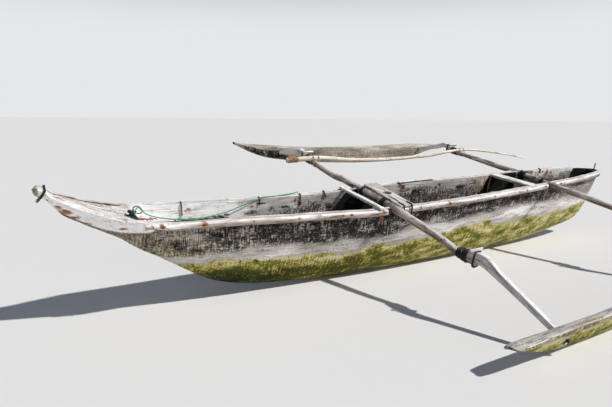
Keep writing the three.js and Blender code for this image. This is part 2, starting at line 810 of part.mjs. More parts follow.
function addBowLashing() {
  const columns = ["keel", "rim", "half", "fullness"];
  const stations = BOW_LASHING.x.map((x) => ({
    x,
    ...Object.fromEntries(columns.map((column) => [column, hullAt(column, x)])),
  }));
  const section = (margin) =>
    stations.map(({ x, keel, rim, half, fullness }) => {
      const below = hullCurve(half + margin, rim + margin, keel - margin, fullness);
      const above = hullCurve(half + margin, rim + margin, rim + 2 * margin, fullness).reverse();
      return [...below, ...above.slice(1, -1)].map(([y, z]) => new THREE.Vector3(x, y, z));
    });
  const wrap = loft(section(BOW_LASHING.thickness));
  addPiece("bow_lashing", cut(wrap, [hullEnvelope(FIT)]), "blackLashing");
}

function addSternPin() {
  const { x, radius, bottom, top } = STERN_PIN;
  addPiece("stern_pin", upright(x, 0, radius, bottom, top, 8), "iron");
}

function addRope() {
  const path = new THREE.CatmullRomCurve3(ropePath.map((point) => new THREE.Vector3(...point)));
  addPiece("rope", tube(path, ROPE.radius, 8, 78), "greenRope");
}

addHull();
addStrakes();
addThwarts();
addMastStep();
addStraps();
addBooms();
addStruts();
addFloats();
addHullLashings();
addLaps();
addPole();
addBowLashing();
addSternPin();
addRope();

// The keel's straight run slopes down aft; trim brings it level.
const KEEL_RUN = [-144, 1542];
const [keelFore, keelAft] = KEEL_RUN.map((x) => hullAt("keel", x));
const trim = Math.atan((keelAft - keelFore) / (KEEL_RUN[1] - KEEL_RUN[0]));

function pose(heel) {
  canoe.rotation.set(heel, trim, 0, "XYZ");
  canoe.updateMatrixWorld();
}

// How low a piece reaches in the canoe's present pose.
function lowest(name) {
  return new THREE.Box3().setFromObject(canoe.getObjectByName(name), true).min.z;
}

// Heels the canoe to port until its hull and port float stand on one floor.
function settle() {
  let [low, high] = [0, Math.PI / 6];
  for (let i = 0; i < 40; i++) {
    const heel = (low + high) / 2;
    pose(heel);
    if (lowest("float_port") > lowest("hull")) low = heel;
    else high = heel;
  }
}

// The origin is on the floor, under the middle of everything but the rope.
settle();
const extent = new THREE.Box3();
for (const piece of canoe.children) {
  if (piece.name !== "rope") extent.expandByObject(piece, true);
}
const centre = extent.getCenter(new THREE.Vector3());
const beached = new THREE.Group();
beached.add(canoe);
canoe.position.set(-centre.x, -centre.y, -extent.min.z);

export default beached;
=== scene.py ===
# %% [markdown]
# # A dugout canoe with two outrigger floats, standing on a floor
# The real hull is one log hollowed with an adze. Rails of split pole run along its
# rim, two long poles cross it and carry a plank float on each side, and strips of
# old rubber bind everything. This lesson builds each piece at high resolution over
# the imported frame, and then gives it the finish that sun, salt and wear have left.

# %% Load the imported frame
import math
from itertools import product

import bmesh
import bpy
import numpy as np
from mathutils import Matrix, Vector


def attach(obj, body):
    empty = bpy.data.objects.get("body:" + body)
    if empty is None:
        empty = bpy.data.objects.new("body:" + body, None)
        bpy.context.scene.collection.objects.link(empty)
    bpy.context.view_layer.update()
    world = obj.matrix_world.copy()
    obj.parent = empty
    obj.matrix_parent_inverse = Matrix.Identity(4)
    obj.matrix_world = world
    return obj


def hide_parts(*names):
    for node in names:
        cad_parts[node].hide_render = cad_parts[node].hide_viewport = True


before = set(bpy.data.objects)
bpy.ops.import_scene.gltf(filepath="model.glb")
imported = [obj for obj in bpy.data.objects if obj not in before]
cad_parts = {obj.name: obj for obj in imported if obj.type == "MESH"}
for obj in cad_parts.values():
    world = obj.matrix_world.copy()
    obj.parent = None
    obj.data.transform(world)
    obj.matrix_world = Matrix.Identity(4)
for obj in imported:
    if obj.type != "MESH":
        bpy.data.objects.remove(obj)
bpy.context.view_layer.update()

# %% [markdown]
# ## One upright frame for the measuring, one for the floor
# A canoe is drawn upright: X runs aft from the fore boom, Y to starboard, Z up, in
# millimetres. On a floor it leans to port on its near float. Every mesh here is
# worked out upright and then laid down by the same turn and shift as the frame's.

# %% From the upright canoe to the floor
MM = 0.001
HEEL = 0.21737706  # radians to port, where hull and near float share the floor
TRIM = -0.02431312  # brings the keel's straight run level
SET_DOWN = (-0.38192799, 0.10328628, 0.05971684)
lean = Matrix.Rotation(HEEL, 4, "X") @ Matrix.Rotation(TRIM, 4, "Y")
as_parked = Matrix.Translation(SET_DOWN) @ lean


def parked(points):
    """Points of the upright canoe, in mm, as points in the frame, in metres."""
    turn = np.array(lean.to_3x3())
    return np.asarray(points, float) * MM @ turn.T + np.array(SET_DOWN)


print("heel", round(math.degrees(HEEL), 2), "degrees")

# %% [markdown]
# ## The camera
# The photograph was taken from a standing eye off the port bow, with a short lens
# tipped down. There the hull has sunk in a little, so it heels less. The camera is
# first placed by that sunken canoe, and then carried with it.

# %% Camera
EYE = Vector((-2.3548, -3.0645, 1.6))
EYE_TURN = 0.526255
FOCAL_PIXELS, IMAGE_WIDTH, SENSOR = 488.03, 612, 36
EYE_LEVEL_PIXELS = 139  # how far eye level lies above the picture's middle
EYE_DOWN = math.atan2(EYE_LEVEL_PIXELS, FOCAL_PIXELS)
PHOTO_HEEL, PHOTO_TRIM = 0.132304, 0.036047

level = Vector((math.sin(EYE_TURN), math.cos(EYE_TURN), 0))
right = Vector((level.y, -level.x, 0))
forward = level * math.cos(EYE_DOWN) - Vector((0, 0, math.sin(EYE_DOWN)))
seen = Matrix((right, right.cross(forward), -forward)).transposed().to_4x4()
seen.translation = EYE
in_photo = Matrix.Rotation(PHOTO_TRIM, 4, "Y") @ Matrix.Rotation(PHOTO_HEEL, 4, "X")
from_photo = as_parked @ in_photo.inverted()

camera = bpy.data.objects.new("camera", bpy.data.cameras.new("camera"))
camera.data.sensor_width = SENSOR
camera.data.lens = FOCAL_PIXELS / IMAGE_WIDTH * SENSOR
camera.matrix_world = from_photo @ seen
bpy.context.scene.collection.objects.link(camera)
bpy.context.scene.camera = camera
print("lens", round(camera.data.lens, 1), "mm at", [round(x, 2) for x in camera.location])

# %% [markdown]
# ## Colours and nodes
# Colours are picked as sRGB hex values, as on a paint card, and turned to the
# linear light that the renderer mixes. One helper adds any node, sets its values
# by name and wires its inputs, so that a finish reads as a list of its layers.

# %% Colour and node helpers


def paint(code):
    """A hex colour such as "8A7F70" as linear red, green, blue and alpha."""
    parts = [int(code[i : i + 2], 16) / 255 for i in (0, 2, 4)]
    return tuple(c / 12.92 if c <= 0.04045 else ((c + 0.055) / 1.055) ** 2.4 for c in parts) + (1,)


def wire(node, inputs):
    """Gives inputs, by name or number, a value, a socket or another node's result."""
    for key, value in inputs.items():
        if isinstance(value, bpy.types.Node):
            value = next(out for out in value.outputs if out.enabled)
        if isinstance(value, bpy.types.NodeSocket):
            node.id_data.links.new(value, node.inputs[key])
        else:
            node.inputs[key].default_value = value


def add(tree, kind, inputs=None, stops=(), **settings):
    """Adds a node with its settings and inputs. stops are a ramp's places and hex colours."""
    node = tree.nodes.new(kind)
    for key, value in settings.items():
        setattr(node, key, value)
    wire(node, inputs or {})
    if stops:
        elements = node.color_ramp.elements
        while len(elements) < len(stops):
            elements.new(0.5)
        for element, (position, code) in zip(elements, stops):
            element.position, element.color = position, paint(code)
    return node


def new_finish(name, **values):
    """A new material and its shader, whose own sockets take values such as Sheen_Weight=0.2."""
    finish = bpy.data.materials.new(name)
    finish.use_nodes = True
    shader = finish.node_tree.nodes["Principled BSDF"]
    wire(shader, {key.replace("_", " "): value for key, value in values.items()})
    return finish, shader


# %% [markdown]
# ## Smooth tables
# A boat builder marks stations and bends a batten through them. A monotone cubic
# does the same with numbers: it passes through each row and never overshoots.

# %% A batten through a table


def batten(rows):
    """A function of the first column that gives the other columns, smoothly."""
    table = np.array(rows, float)
    x, y = table[:, 0], table[:, 1:]
    step = np.diff(x)[:, None]
    slope = np.diff(y, axis=0) / step
    bend = np.zeros_like(y)
    before, after = slope[:-1], slope[1:]
    w1, w2 = 2 * step[1:] + step[:-1], step[1:] + 2 * step[:-1]
    same = before * after > 0
    safe_before, safe_after = np.where(same, before, 1), np.where(same, after, 1)
    bend[1:-1] = np.where(same, (w1 + w2) / (w1 / safe_before + w2 / safe_after), 0)
    bend[0], bend[-1] = slope[0], slope[-1]

    def at(value):
        value = np.clip(np.atleast_1d(np.asarray(value, float)), x[0], x[-1])
        i = np.clip(np.searchsorted(x, value, side="right") - 1, 0, len(x) - 2)
        h = (x[i + 1] - x[i])[:, None]
        t = (value[:, None] - x[i][:, None]) / h
        return (
            (1 + 2 * t) * (1 - t) ** 2 * y[i]
            + t * (1 - t) ** 2 * h * bend[i]
            + t**2 * (3 - 2 * t) * y[i + 1]
            + t**2 * (t - 1) * h * bend[i + 1]
        )

    return at


# %% [markdown]
# ## Rough wood
# Adze marks, weather and wear are uneven but not random from point to point. A
# lattice of seeded random numbers, blended smoothly between its corners, gives the
# same gentle lumps on every run. Stains have soft edges, which the ramps draw.

# %% Seeded lumps, and soft edges
CELLS = 32
LATTICE = np.random.default_rng(11).random((CELLS, CELLS, CELLS))


def lumps(points, *sizes):
    """Smooth noise from -1 to 1 at points in mm. sizes are the lumps' length along X, Y and Z."""
    in_cells = np.asarray(points, float) / np.array(sizes)
    cell = np.floor(in_cells).astype(int)
    part = in_cells - cell
    part = part * part * (3 - 2 * part)
    total = 0
    for corner in product((0, 1), repeat=3):
        weight = np.prod(np.where(np.array(corner) == 1, part, 1 - part), axis=-1)
        index = (cell + np.array(corner)) % CELLS
        total = total + weight * LATTICE[index[..., 0], index[..., 1], index[..., 2]]
    return total * 2 - 1


def ramp(value, start, end):
    """0 before start, 1 after end and a smooth step between."""
    t = np.clip((np.asarray(value, float) - start) / (end - start), 0, 1)
    return t * t * (3 - 2 * t)


def fade(value, start, end):
    """1 before start, 0 after end and a smooth step between."""
    return ramp(-np.asarray(value, float), -end, -start)


def stretch(value, start, full, fading, end):
    """0 up to start, 1 from full to fading and 0 from end on, with smooth steps."""
    return ramp(value, start, full) * fade(value, fading, end)


def spot(*offsets):
    """A soft spot. Each offset is the way from its middle, over its size in that direction."""
    return np.exp(-sum(np.square(offset) for offset in offsets))


def points_of(*coordinates):
    """Coordinates, each a number or an array, as one array of points."""
    return np.stack(np.broadcast_arrays(*coordinates), -1)


# %% [markdown]
# ## Rings into solids
# Most pieces here are lofts: rings of points along a line, joined and closed at
# both ends. Marks such as rust, moss, and soot with painted shade are stored on the
# points, because they follow the piece and not the world. The finishes read them by
# name.

# %% Lofted solids


def skin(grid, tyre=False):
    """Points and faces of a closed solid, and whether its rings run the right way.

    grid is rings x points round x 3. A tyre's last ring joins its first, and any
    other loft is closed by a fan to the middle of each end.
    """
    rings, around = grid.shape[:2]
    ring = np.arange(rings if tyre else rings - 1)[:, None]
    here, above = ring * around, (ring + 1) % rings * around
    i = np.arange(around)[None]
    beside = (i + 1) % around
    quads = np.stack([here + i, here + beside, above + beside, above + i], -1).reshape(-1, 4)
    points, faces = grid.reshape(-1, 3), [tuple(quad) for quad in quads.tolist()]
    if not tyre:
        pairs = [(k, (k + 1) % around) for k in range(around)]
        first, last, end = rings * around, rings * around + 1, (rings - 1) * around
        faces += [(first, b, a) for a, b in pairs] + [(last, end + a, end + b) for a, b in pairs]
        points = np.vstack([points, grid[0].mean(0), grid[-1].mean(0)])
    a, b, c, d = (points[quads[:, k]] for k in range(4))
    volume = np.einsum("ij,ij->", a, np.cross(b, c)) + np.einsum("ij,ij->", a, np.cross(c, d))
    if volume < 0:
        faces = [face[::-1] for face in faces]
    return points, faces, volume > 0


def outward(grid):
    """Unit normals of a loft, pointing out of the solid."""
    around = np.roll(grid, -1, 1) - np.roll(grid, 1, 1)
    along = np.gradient(grid, axis=0)
    normal = np.cross(around, along)
    normal /= np.maximum(np.linalg.norm(normal, axis=-1, keepdims=True), 1e-9)
    return normal if skin(grid)[2] else -normal


def roughened(grid, rise):
    """A loft with its points moved outwards by rise, and the normals they moved along."""
    normal = outward(grid)
    return grid + normal * rise[..., None], normal


# %% Where a loft's rings stand, and how its ends are worn


def stations(first, last, step, after=(2, 5), before=(5, 2)):
    """Places step apart, with more close after first and close before last."""
    extra = [first + gap for gap in after] + [last - gap for gap in before] + [last]
    return np.unique(np.concatenate([np.arange(first, last, step), extra]))


def eased(places, shrink, over, power=1):
    """The share of its size that a section keeps, less over the last few mm of each end."""
    inside = np.minimum(places - places[0], places[-1] - places)
    return 1 - shrink * np.clip(1 - inside / over, 0, 1) ** power


# %% From a loft to a piece of the canoe


def store(mesh, marks):
    """Keeps marks on a mesh's points, each a number or a vector."""
    for name, values in marks.items():
        values = np.asarray(values, np.float32)
        kind, key = ("FLOAT_VECTOR", "vector") if values.ndim == 2 else ("FLOAT", "value")
        mesh.attributes.new(name, kind, "POINT").data.foreach_set(key, values.ravel())


def place(name, data):
    """Puts a mesh, camera or light in the scene as an object of its own."""
    thing = bpy.data.objects.new(name, data)
    bpy.context.scene.collection.objects.link(thing)
    return thing


def carry(piece, nodes=()):
    """Fixes a finished piece to the canoe's one body, in place of the frame's nodes."""
    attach(piece, "root")
    if nodes:
        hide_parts(*nodes)
    print(piece.name, len(piece.data.polygons), "faces")
    return piece


def make(name, grid, marks, finish, slot, nodes=(), sharp=40, tyre=False):
    """A piece from a loft in upright mm and the marks on its points."""
    points, faces, _ = skin(grid, tyre)
    mesh = bpy.data.meshes.new(name)
    mesh.from_pydata(parked(points).tolist(), [], faces)
    flat = {}
    for key, values in marks.items():
        values = np.asarray(values, float)
        ends = [] if tyre else [np.stack([values[0].mean(0), values[-1].mean(0)])]
        flat[key] = np.concatenate([values.reshape(-1, *values.shape[2:]), *ends])
    store(mesh, flat)
    mesh.shade_smooth()
    mesh.set_sharp_from_angle(angle=math.radians(sharp))
    mesh.materials.append(finish)
    return carry(place(name, mesh), nodes)


# %% [markdown]
# ## Lines, sweeps and bindings
# A rope, a pole and a strip of rubber are each a line with a section carried along
# it. The line is a spline through measured points. The section stays upright on a
# pole, and is carried without twist along a rope, whose line turns every way.

# %% Lines and sweeps


def spline(points, each=8):
    """A line through points by a centripetal spline, each steps to a span."""
    p = np.array(points, float)
    p = np.vstack([2 * p[0] - p[1], p, 2 * p[-1] - p[-2]])
    line = []
    for a, b, c, d in zip(p, p[1:], p[2:], p[3:]):
        k = np.cumsum([0] + [np.linalg.norm(v) ** 0.5 for v in (b - a, c - b, d - c)])
        t = np.linspace(k[1], k[2], each, endpoint=False)[:, None]

        def blend(u, v, i, j):
            return ((k[j] - t) * u + (t - k[i]) * v) / (k[j] - k[i])

        ab, bc, cd = blend(a, b, 0, 1), blend(b, c, 1, 2), blend(c, d, 2, 3)
        line.append(blend(blend(ab, bc, 0, 2), blend(bc, cd, 1, 3), 1, 2))
    return np.vstack(line + [p[-2]])


def run_of(line):
    return np.concatenate([[0], np.cumsum(np.linalg.norm(np.diff(line, axis=0), axis=1))])


def spaced(line, step):
    """The same line with points about step apart."""
    run = run_of(line)
    wanted = np.linspace(0, run[-1], max(2, round(run[-1] / step) + 1))
    return np.stack([np.interp(wanted, run, line[:, k]) for k in range(3)], 1)


def unit(v):
    return v / np.maximum(np.linalg.norm(v, axis=-1, keepdims=True), 1e-9)


def untwisted(line):
    """Two directions square to the line, carried along it without twist."""
    along = unit(np.gradient(line, axis=0))
    side = unit(np.cross(along[0], (0.1, 0.2, 1.0)))
    sides = []
    for direction in along:
        side = unit(side - direction * (side @ direction))
        sides.append(side)
    sides = np.array(sides)
    return sides, np.cross(sides, along)


def upright(line):
    """Level and upward directions square to the line, as a pole laid flat has."""
    along = unit(np.gradient(line, axis=0))
    side = unit(np.cross(along, (0, 0, 1)))
    return side, np.cross(side, along)


def sweep(line, sections, frame_of=upright):
    """A section, or one for each point of the line, carried along the line."""
    side, above = frame_of(line)
    return line[:, None] + sections[..., :1] * side[:, None] + sections[..., 1:] * above[:, None]


def squarish(count, power):
    """A unit section between a circle (power 2) and a square (power 8 and up)."""
    turn = np.linspace(0, 2 * math.pi, count, endpoint=False) + math.pi / count
    return points_of(*(np.sign(v) * np.abs(v) ** (2 / power) for v in (np.cos(turn), np.sin(turn))))


# %% [markdown]
# ## The mooring rope
# A bright green three-strand rope of 8 mm comes out of a hole under the bow deck,
# rises in one stiff loop, lies along the far side of the hollow, and passes over
# the far gunwale, where it ends in a stopper knot. Its strands are laid about three
# and a half diameters to a turn. It is a tube whose section has three lobes that
# turn as it goes, so the lay is real relief, and it follows the frame's own route.

# %% Rope finish
# Laid polypropylene with a satin sheen: its strands are painted lighter on their
# crowns and darker in the grooves, as painted light and shade, and its threads lie
# about 0.7 mm apart.
green_rope, surface = new_finish("green_polypropylene_rope", Roughness=0.62, Sheen_Weight=0.2)
tree = green_rope.node_tree
grain = add(tree, "ShaderNodeAttribute", attribute_name="grain").outputs["Vector"]
groove = add(tree, "ShaderNodeAttribute", attribute_name="groove").outputs["Fac"]
lines = add(tree, "ShaderNodeMapping", {"Scale": (60, 1500, 1), "Vector": grain})
threads = add(tree, "ShaderNodeTexNoise", {"Scale": 1, "Detail": 3, "Vector": lines})
depth = add(tree, "ShaderNodeMath", {0: threads, 1: 0.5, 2: groove}, operation="MULTIPLY_ADD")
tones = add(tree, "ShaderNodeValToRGB", {"Fac": depth}, [(0.2, "26C88B"), (0.95, "0B6A45")])
relief = add(tree, "ShaderNodeBump", {"Strength": 0.5, "Distance": 0.0004, "Height": threads})
wire(surface, {"Base Color": tones, "Normal": relief})
print(green_rope.name, "with", len(tree.nodes), "nodes")

# %% Rope
ROPE_DIAMETER = 8
LAY = 28  # mm of rope to one turn of a strand
ROPE_STEP = 2.4
ROPE_ROUTE = [
    (-1940, 10, 634), (-1890, 10, 634), (-1862, 12, 640), (-1846, 26, 662), (-1836, 46, 680),
    (-1818, 62, 678), (-1800, 66, 656), (-1776, 62, 630), (-1720, 58, 604), (-1640, 60, 580),
    (-1540, 66, 560), (-1430, 80, 547), (-1320, 96, 546), (-1200, 108, 562), (-1085, 122, 588),
    (-990, 137, 610), (-930, 149, 619.4), (-860, 162, 614.6), (-760, 178, 610.5), (-690, 193, 607),
    (-630, 211, 603), (-586, 236, 597), (-566, 254, 566), (-560, 254, 520),
]


def laid(line, diameter, lay, lobes=3, around=18):
    """A laid rope along a line: its section has a lobe for each strand."""
    turn = np.linspace(0, 2 * math.pi, around, endpoint=False)
    run = run_of(line)[:, None]
    phase = turn - run * 2 * math.pi / lay
    radius = diameter / 2 * (0.87 + 0.13 * np.cos(lobes * phase))
    grid = sweep(line, points_of(radius * np.cos(turn), radius * np.sin(turn)), untwisted)
    strand = np.mod(lobes * phase / (2 * math.pi) + 0.5, 1)
    groove = 1 - (radius / diameter * 2 - 0.74) / 0.26
    return grid, {"grain": points_of(run, strand * 8, 0) * MM, "groove": groove}


def rope_piece(name, line, nodes=()):
    return make(name, *laid(line, ROPE_DIAMETER, LAY), green_rope, "green_rope", nodes, sharp=80)


rope_line = spaced(spline(ROPE_ROUTE), ROPE_STEP)
rope = rope_piece("mooring_rope", rope_line, ["rope"])

# %% The knot in its far end, a trefoil drawn tight
KNOT_SIZE, KNOT_RISE = 4.2, 12
t = np.linspace(0, 2 * math.pi, 90, endpoint=False)
trefoil = points_of(
    np.sin(t) + 2 * np.sin(2 * t), -2.2 * np.sin(3 * t), np.cos(t) - 2 * np.cos(2 * t)
)
knot_line = np.array(ROPE_ROUTE[-1], float) + (0, 0, KNOT_RISE) + KNOT_SIZE * trefoil
knot = rope_piece("rope_stopper_knot", np.vstack([knot_line, knot_line[:2]]))

# %% The hitch at its root
HITCH_MIDDLE = np.array([-1832, 30, 676.0])
HITCH_ACROSS, HITCH_TOWARD = np.array([0.865, -0.5, 0]), np.array([-0.48, -0.83, 0.27])
HITCH = [  # across, up and toward the bow's port side from the hitch's middle
    (-52, -36, -14), (-46, -24, -8), (-34, -12, 0), (-27, 4, 4), (-19, 19, 6), (-4, 27, 8),
    (12, 24, 10), (25, 12, 10), (30, -4, 8), (21, -17, 4), (5, -23, -2), (-12, -20, -8),
    (-25, -8, -9), (-28, 3, -4), (-22, -12, 8), (-14, -30, 12), (-2, -46, 12), (9, -62, 10),
    (14, -76, 6),
]
hitch_line = [HITCH_MIDDLE + a * HITCH_ACROSS + (0, 0, b) + c * HITCH_TOWARD for a, b, c in HITCH]
hitch = rope_piece("rope_hitch", spaced(spline(hitch_line), ROPE_STEP))

# %% [markdown]
# ## Weathered wood
# All the wood here is bare tropical hardwood that grey mould, sun and salt have
# worked on. Close to, it shows four layers: pale and dark fibres a few millimetres
# wide that run with the grain, slow changes of tone, long drying cracks, and a
# scatter of black mould. The faces that the sun reaches bleach almost white and the
# undersides stay brown. The same sun mark also paints light and shade: faces turned
# to the light are painted lighter and undersides painted darker. One finish with
# these layers serves every piece, with colours of its own. The grain coordinate is
# in metres: X along the fibres.

# %% The colours of stains on the wood, from thin to thick; the soot colours also paint shade
STAIN_COLOURS = {
    "earth": [(0.2, "241F18"), (0.45, "6A5E48"), (0.62, "A09378"), (0.85, "D8CFBA")],
    "soot_and_shade": [(0.1, "070707"), (0.36, "25211F"), (0.58, "655E59"), (0.85, "B8B2AD")],
    "rust": [(0.25, "CDB08F"), (0.5, "AC713F"), (0.8, "6E3D20"), (1.0, "32190F")],
    "moss": [
        (0.02, "CFC8A6"), (0.16, "BBB274"), (0.3, "9D9346"), (0.44, "766D28"), (0.6, "484212"),
        (0.76, "272306"), (1.0, "141003"),
    ],
}
DARK_LINE, BLACK_MOULD, PALE_RIB, FRESH_WEED = "2A231D", "1C1917", "D9D2C4", "4F6620"

# %% What the wood finish reads, and the patterns that break up its tones and stains
MARKS = ("grain", "sun", "soot_and_shade", "rust", "moss", "ribs", "tan")
WOOD_PATTERNS = {
    # how many to the metre along and across the grain, detail, roughness
    "fibres": (7, 65, 6, 0.7),
    "tone": (2.6, 11, 4, 0.55),
    "drying": (2.4, 42, 3, 0.5),
    "specks": (48, 90, 5, 0.75),
    "patches": (6, 15, 4, 0.6),
    "hairs": (80, 13, 5, 0.75),
}
BAND = 7  # mm of wood to a fibre band in the table


def wood_inputs(tree, fibre):
    """The marks stored on a piece's points, and each pattern laid along its grain."""
    mark, field = {}, {}
    for key in MARKS:
        read = add(tree, "ShaderNodeAttribute", attribute_name=key)
        mark[key] = read.outputs["Vector" if key == "grain" else "Fac"]
    for key, (along, across, detail, rough) in WOOD_PATTERNS.items():
        across = across * BAND / fibre if key == "fibres" else across
        scale = {"Vector": mark["grain"], "Scale": (along, across, across)}
        grains = {"Vector": add(tree, "ShaderNodeMapping", scale), "Scale": 1.0}
        noise = add(tree, "ShaderNodeTexNoise", {**grains, "Detail": detail, "Roughness": rough})
        centred = {0: noise.outputs["Fac"], 1: 0.5}
        field[key] = add(tree, "ShaderNodeMath", centred, operation="SUBTRACT")
    return mark, field


# %% The wood finish


def weathered(
    name, bleached, aged, shaded, whitest, fibre=BAND, checks=0.8, mould=0.7, sides=1.0, hairs=0
):
    """Bare weathered wood, pale where its sun mark is high and brown where it is low.

    fibre is a fibre band's width in mm, and sides how far the bleaching and painted
    light reach down the sides. The sun mark is partly sun bleaching and partly painted
    light and shade. checks, mould and hairs say how much of those shows.
    """
    finish, surface = new_finish(name, Specular_IOR_Level=0.2)
    tree = finish.node_tree
    mark, field = wood_inputs(tree, fibre)

    def broken(start, weights):
        """A start value plus each pattern times its weight."""
        for key, weight in weights.items():
            sum_of = {0: field[key], 1: weight, 2: start}
            start = add(tree, "ShaderNodeMath", sum_of, operation="MULTIPLY_ADD")
        return start

    # What strong sun takes off, how deep soot and painted shade lie, and where weed starts.
    follows = {}
    for key, source, *limits in (
        ("cleaned", "sun", 1.0, 1.6, 0.0, -0.12),
        ("soot depth", "soot_and_shade", 0.7, 2.4, 0.46, -0.35),
        ("weed edge", "moss", 0.3, 0.9, -1.0, 0.0),
    ):
        names = ("From Min", "From Max", "To Min", "To Max")
        inputs = {"Value": mark[source], **dict(zip(names, limits))}
        follows[key] = add(tree, "ShaderNodeMapRange", inputs)
    # How pale the wood is follows the sun mark: partly bleaching, partly painted light.
    bleach_and_light = {0: mark["sun"], 1: 0.55 * sides, 2: 0.28}
    lit = add(tree, "ShaderNodeMath", bleach_and_light, operation="MULTIPLY_ADD")
    ajar = add(tree, "ShaderNodeMath", {0: field["drying"]}, operation="ABSOLUTE")
    weed_depth = add(tree, "ShaderNodeMath", {0: mark["moss"], 1: 0.32}, operation="MULTIPLY")
    # Ribs 13 mm apart: a wave's length is 0.314 m over its scale.
    ribbed = {"Vector": mark["grain"], "Scale": 24.2, "Distortion": 2.5, "Detail Scale": 0.8}
    wave = add(tree, "ShaderNodeTexWave", ribbed).outputs["Fac"]
    ribs = add(tree, "ShaderNodeMath", {0: mark["ribs"], 1: wave}, operation="ADD")

    wood_colours = [(0.05, shaded), (0.42, aged), (0.82, bleached), (1.0, whitest)]
    tones = {}
    for key, start, weights in (
        ("wood", lit, {"fibres": 1.3, "tone": 1.4, "hairs": 0.9 * hairs}),
        ("earth", 0.5, {"hairs": 2.6, "specks": 2.2, "patches": 1.6}),
        ("soot_and_shade", follows["soot depth"], {"hairs": 2.2, "specks": 2.0, "patches": 1.8, "fibres": 0.5}),
        ("rust", mark["rust"], {"specks": 1.8, "patches": 0.9}),
        ("moss", weed_depth, {"hairs": 1.6, "patches": 1.7, "specks": 1.4}),
    ):
        stops = STAIN_COLOURS.get(key, wood_colours)
        tones[key] = add(tree, "ShaderNodeValToRGB", {"Fac": broken(start, weights)}, stops)

    sooty = {"hairs": 1.4 * hairs + 0.4, "patches": 1.7, "specks": 1.1, "tone": 0.7}
    stains = {
        # what it follows, what breaks it up, where it starts and is full, how much it hides
        "hair lines": (follows["cleaned"], {"hairs": 1.0}, 0.04, 0.2, hairs, DARK_LINE),
        "cracks": (ajar, {}, 0.016 * checks + 0.002, 0.0, 0.9, DARK_LINE),
        "mould": (
            follows["cleaned"], {"specks": 1.0, "patches": 0.8}, 0.1, 0.19, mould, BLACK_MOULD,
        ),
        "earth": (mark["tan"], {"hairs": 0.8, "tone": 0.8, "specks": 0.4}, 0.2, 0.7, 0.9, None),
        "soot_and_shade": (mark["soot_and_shade"], sooty, 0.4, 0.58, 1.0, None),
        "ribs": (ribs, {"hairs": 1.1, "patches": 1.4}, 1.3, 1.85, 0.8, PALE_RIB),
        "rust": (mark["rust"], {"fibres": 0.6, "specks": 0.9}, 0.3, 0.62, 0.9, None),
        "moss": (mark["moss"], {"hairs": 1.0, "patches": 1.3, "specks": 0.6}, 0.1, 0.75, 1.0, None),
        "fresh weed": (
            follows["weed edge"], {"patches": 1.2, "specks": 1.3, "hairs": 0.9},
            0.06, 0.22, 0.8, FRESH_WEED,
        ),
    }
    colour, covers = tones["wood"], {}
    for key, (start, weights, first, full, most, plain) in stains.items():
        limits = {"Value": broken(start, weights), "From Min": first, "From Max": full, "To Max": most}
        covers[key] = add(tree, "ShaderNodeMapRange", limits, interpolation_type="SMOOTHSTEP")
        layers = {0: covers[key], 6: colour, 7: paint(plain) if plain else tones[key]}
        colour = add(tree, "ShaderNodeMix", layers, data_type="RGBA")
    height = broken(0.0, {"fibres": 0.8, "specks": 0.4})
    for key, rise in (("cracks", -1.6), ("moss", 0.5)):  # a crack is deep, weed stands proud
        raised = {0: covers[key], 1: rise, 2: height}
        height = add(tree, "ShaderNodeMath", raised, operation="MULTIPLY_ADD")
    relief = add(tree, "ShaderNodeBump", {"Strength": 0.9, "Distance": 0.0022, "Height": height})
    rough = broken(0.82, {"fibres": 0.2})
    wire(surface, {"Base Color": colour, "Roughness": rough, "Normal": relief})
    print(name, "with", len(tree.nodes), "nodes")
    return finish


# Dugout mango wood, adzed and never painted: grey, streaked down the side, white in the sun.
hull_finish = weathered(
    "adzed_dugout_log", "CFCBC8", "A29A95", "585049", "EFEDEC", hairs=0.75, mould=0.75, checks=0.25
)
# Split pole rails, bleached almost white on top and warm grey below, partly as painted light and
# shade.
rail_finish = weathered(
    "bleached_and_lit_rail", "E2DDDA", "A99D96", "776B62", "F3F0EE", fibre=6, mould=0.6, checks=1.0
)
# Round poles with the bark off, lilac-grey above and brown below, partly as painted light and shade.
boom_finish = weathered(
    "debarked_round_pole", "C8BBB3", "846F60", "33221A", "DDD4CE", sides=1.6
)
# Sawn struts, silver-white on top with a brown lower edge; the top is partly painted light.
strut_finish = weathered(
    "silvered_sawn_arm", "E9E7E7", "B4ABAA", "7E6A5B", "F6F5F5",
    fibre=4.5, mould=0.25, checks=0.45, sides=1.2,
)
# Thick float planks, grey with a film of algae.
float_finish = weathered(
    "sea_worn_plank", "CDC9C3", "9D968B", "5F5548", "D8D5CF",
    mould=0.6, checks=0.7, sides=0.9, hairs=0.25,
)

# %% [markdown]
# ## The hull
# The log was shaped outside first and then hollowed. Its sections are full
# amidships and pinched to a beak at the bow, where the wood is left almost solid.
# It is lofted from the same stations as the frame, with a batten through them, so
# that it runs fair. The rim is rounded by wear, and the adze leaves shallow lumps.

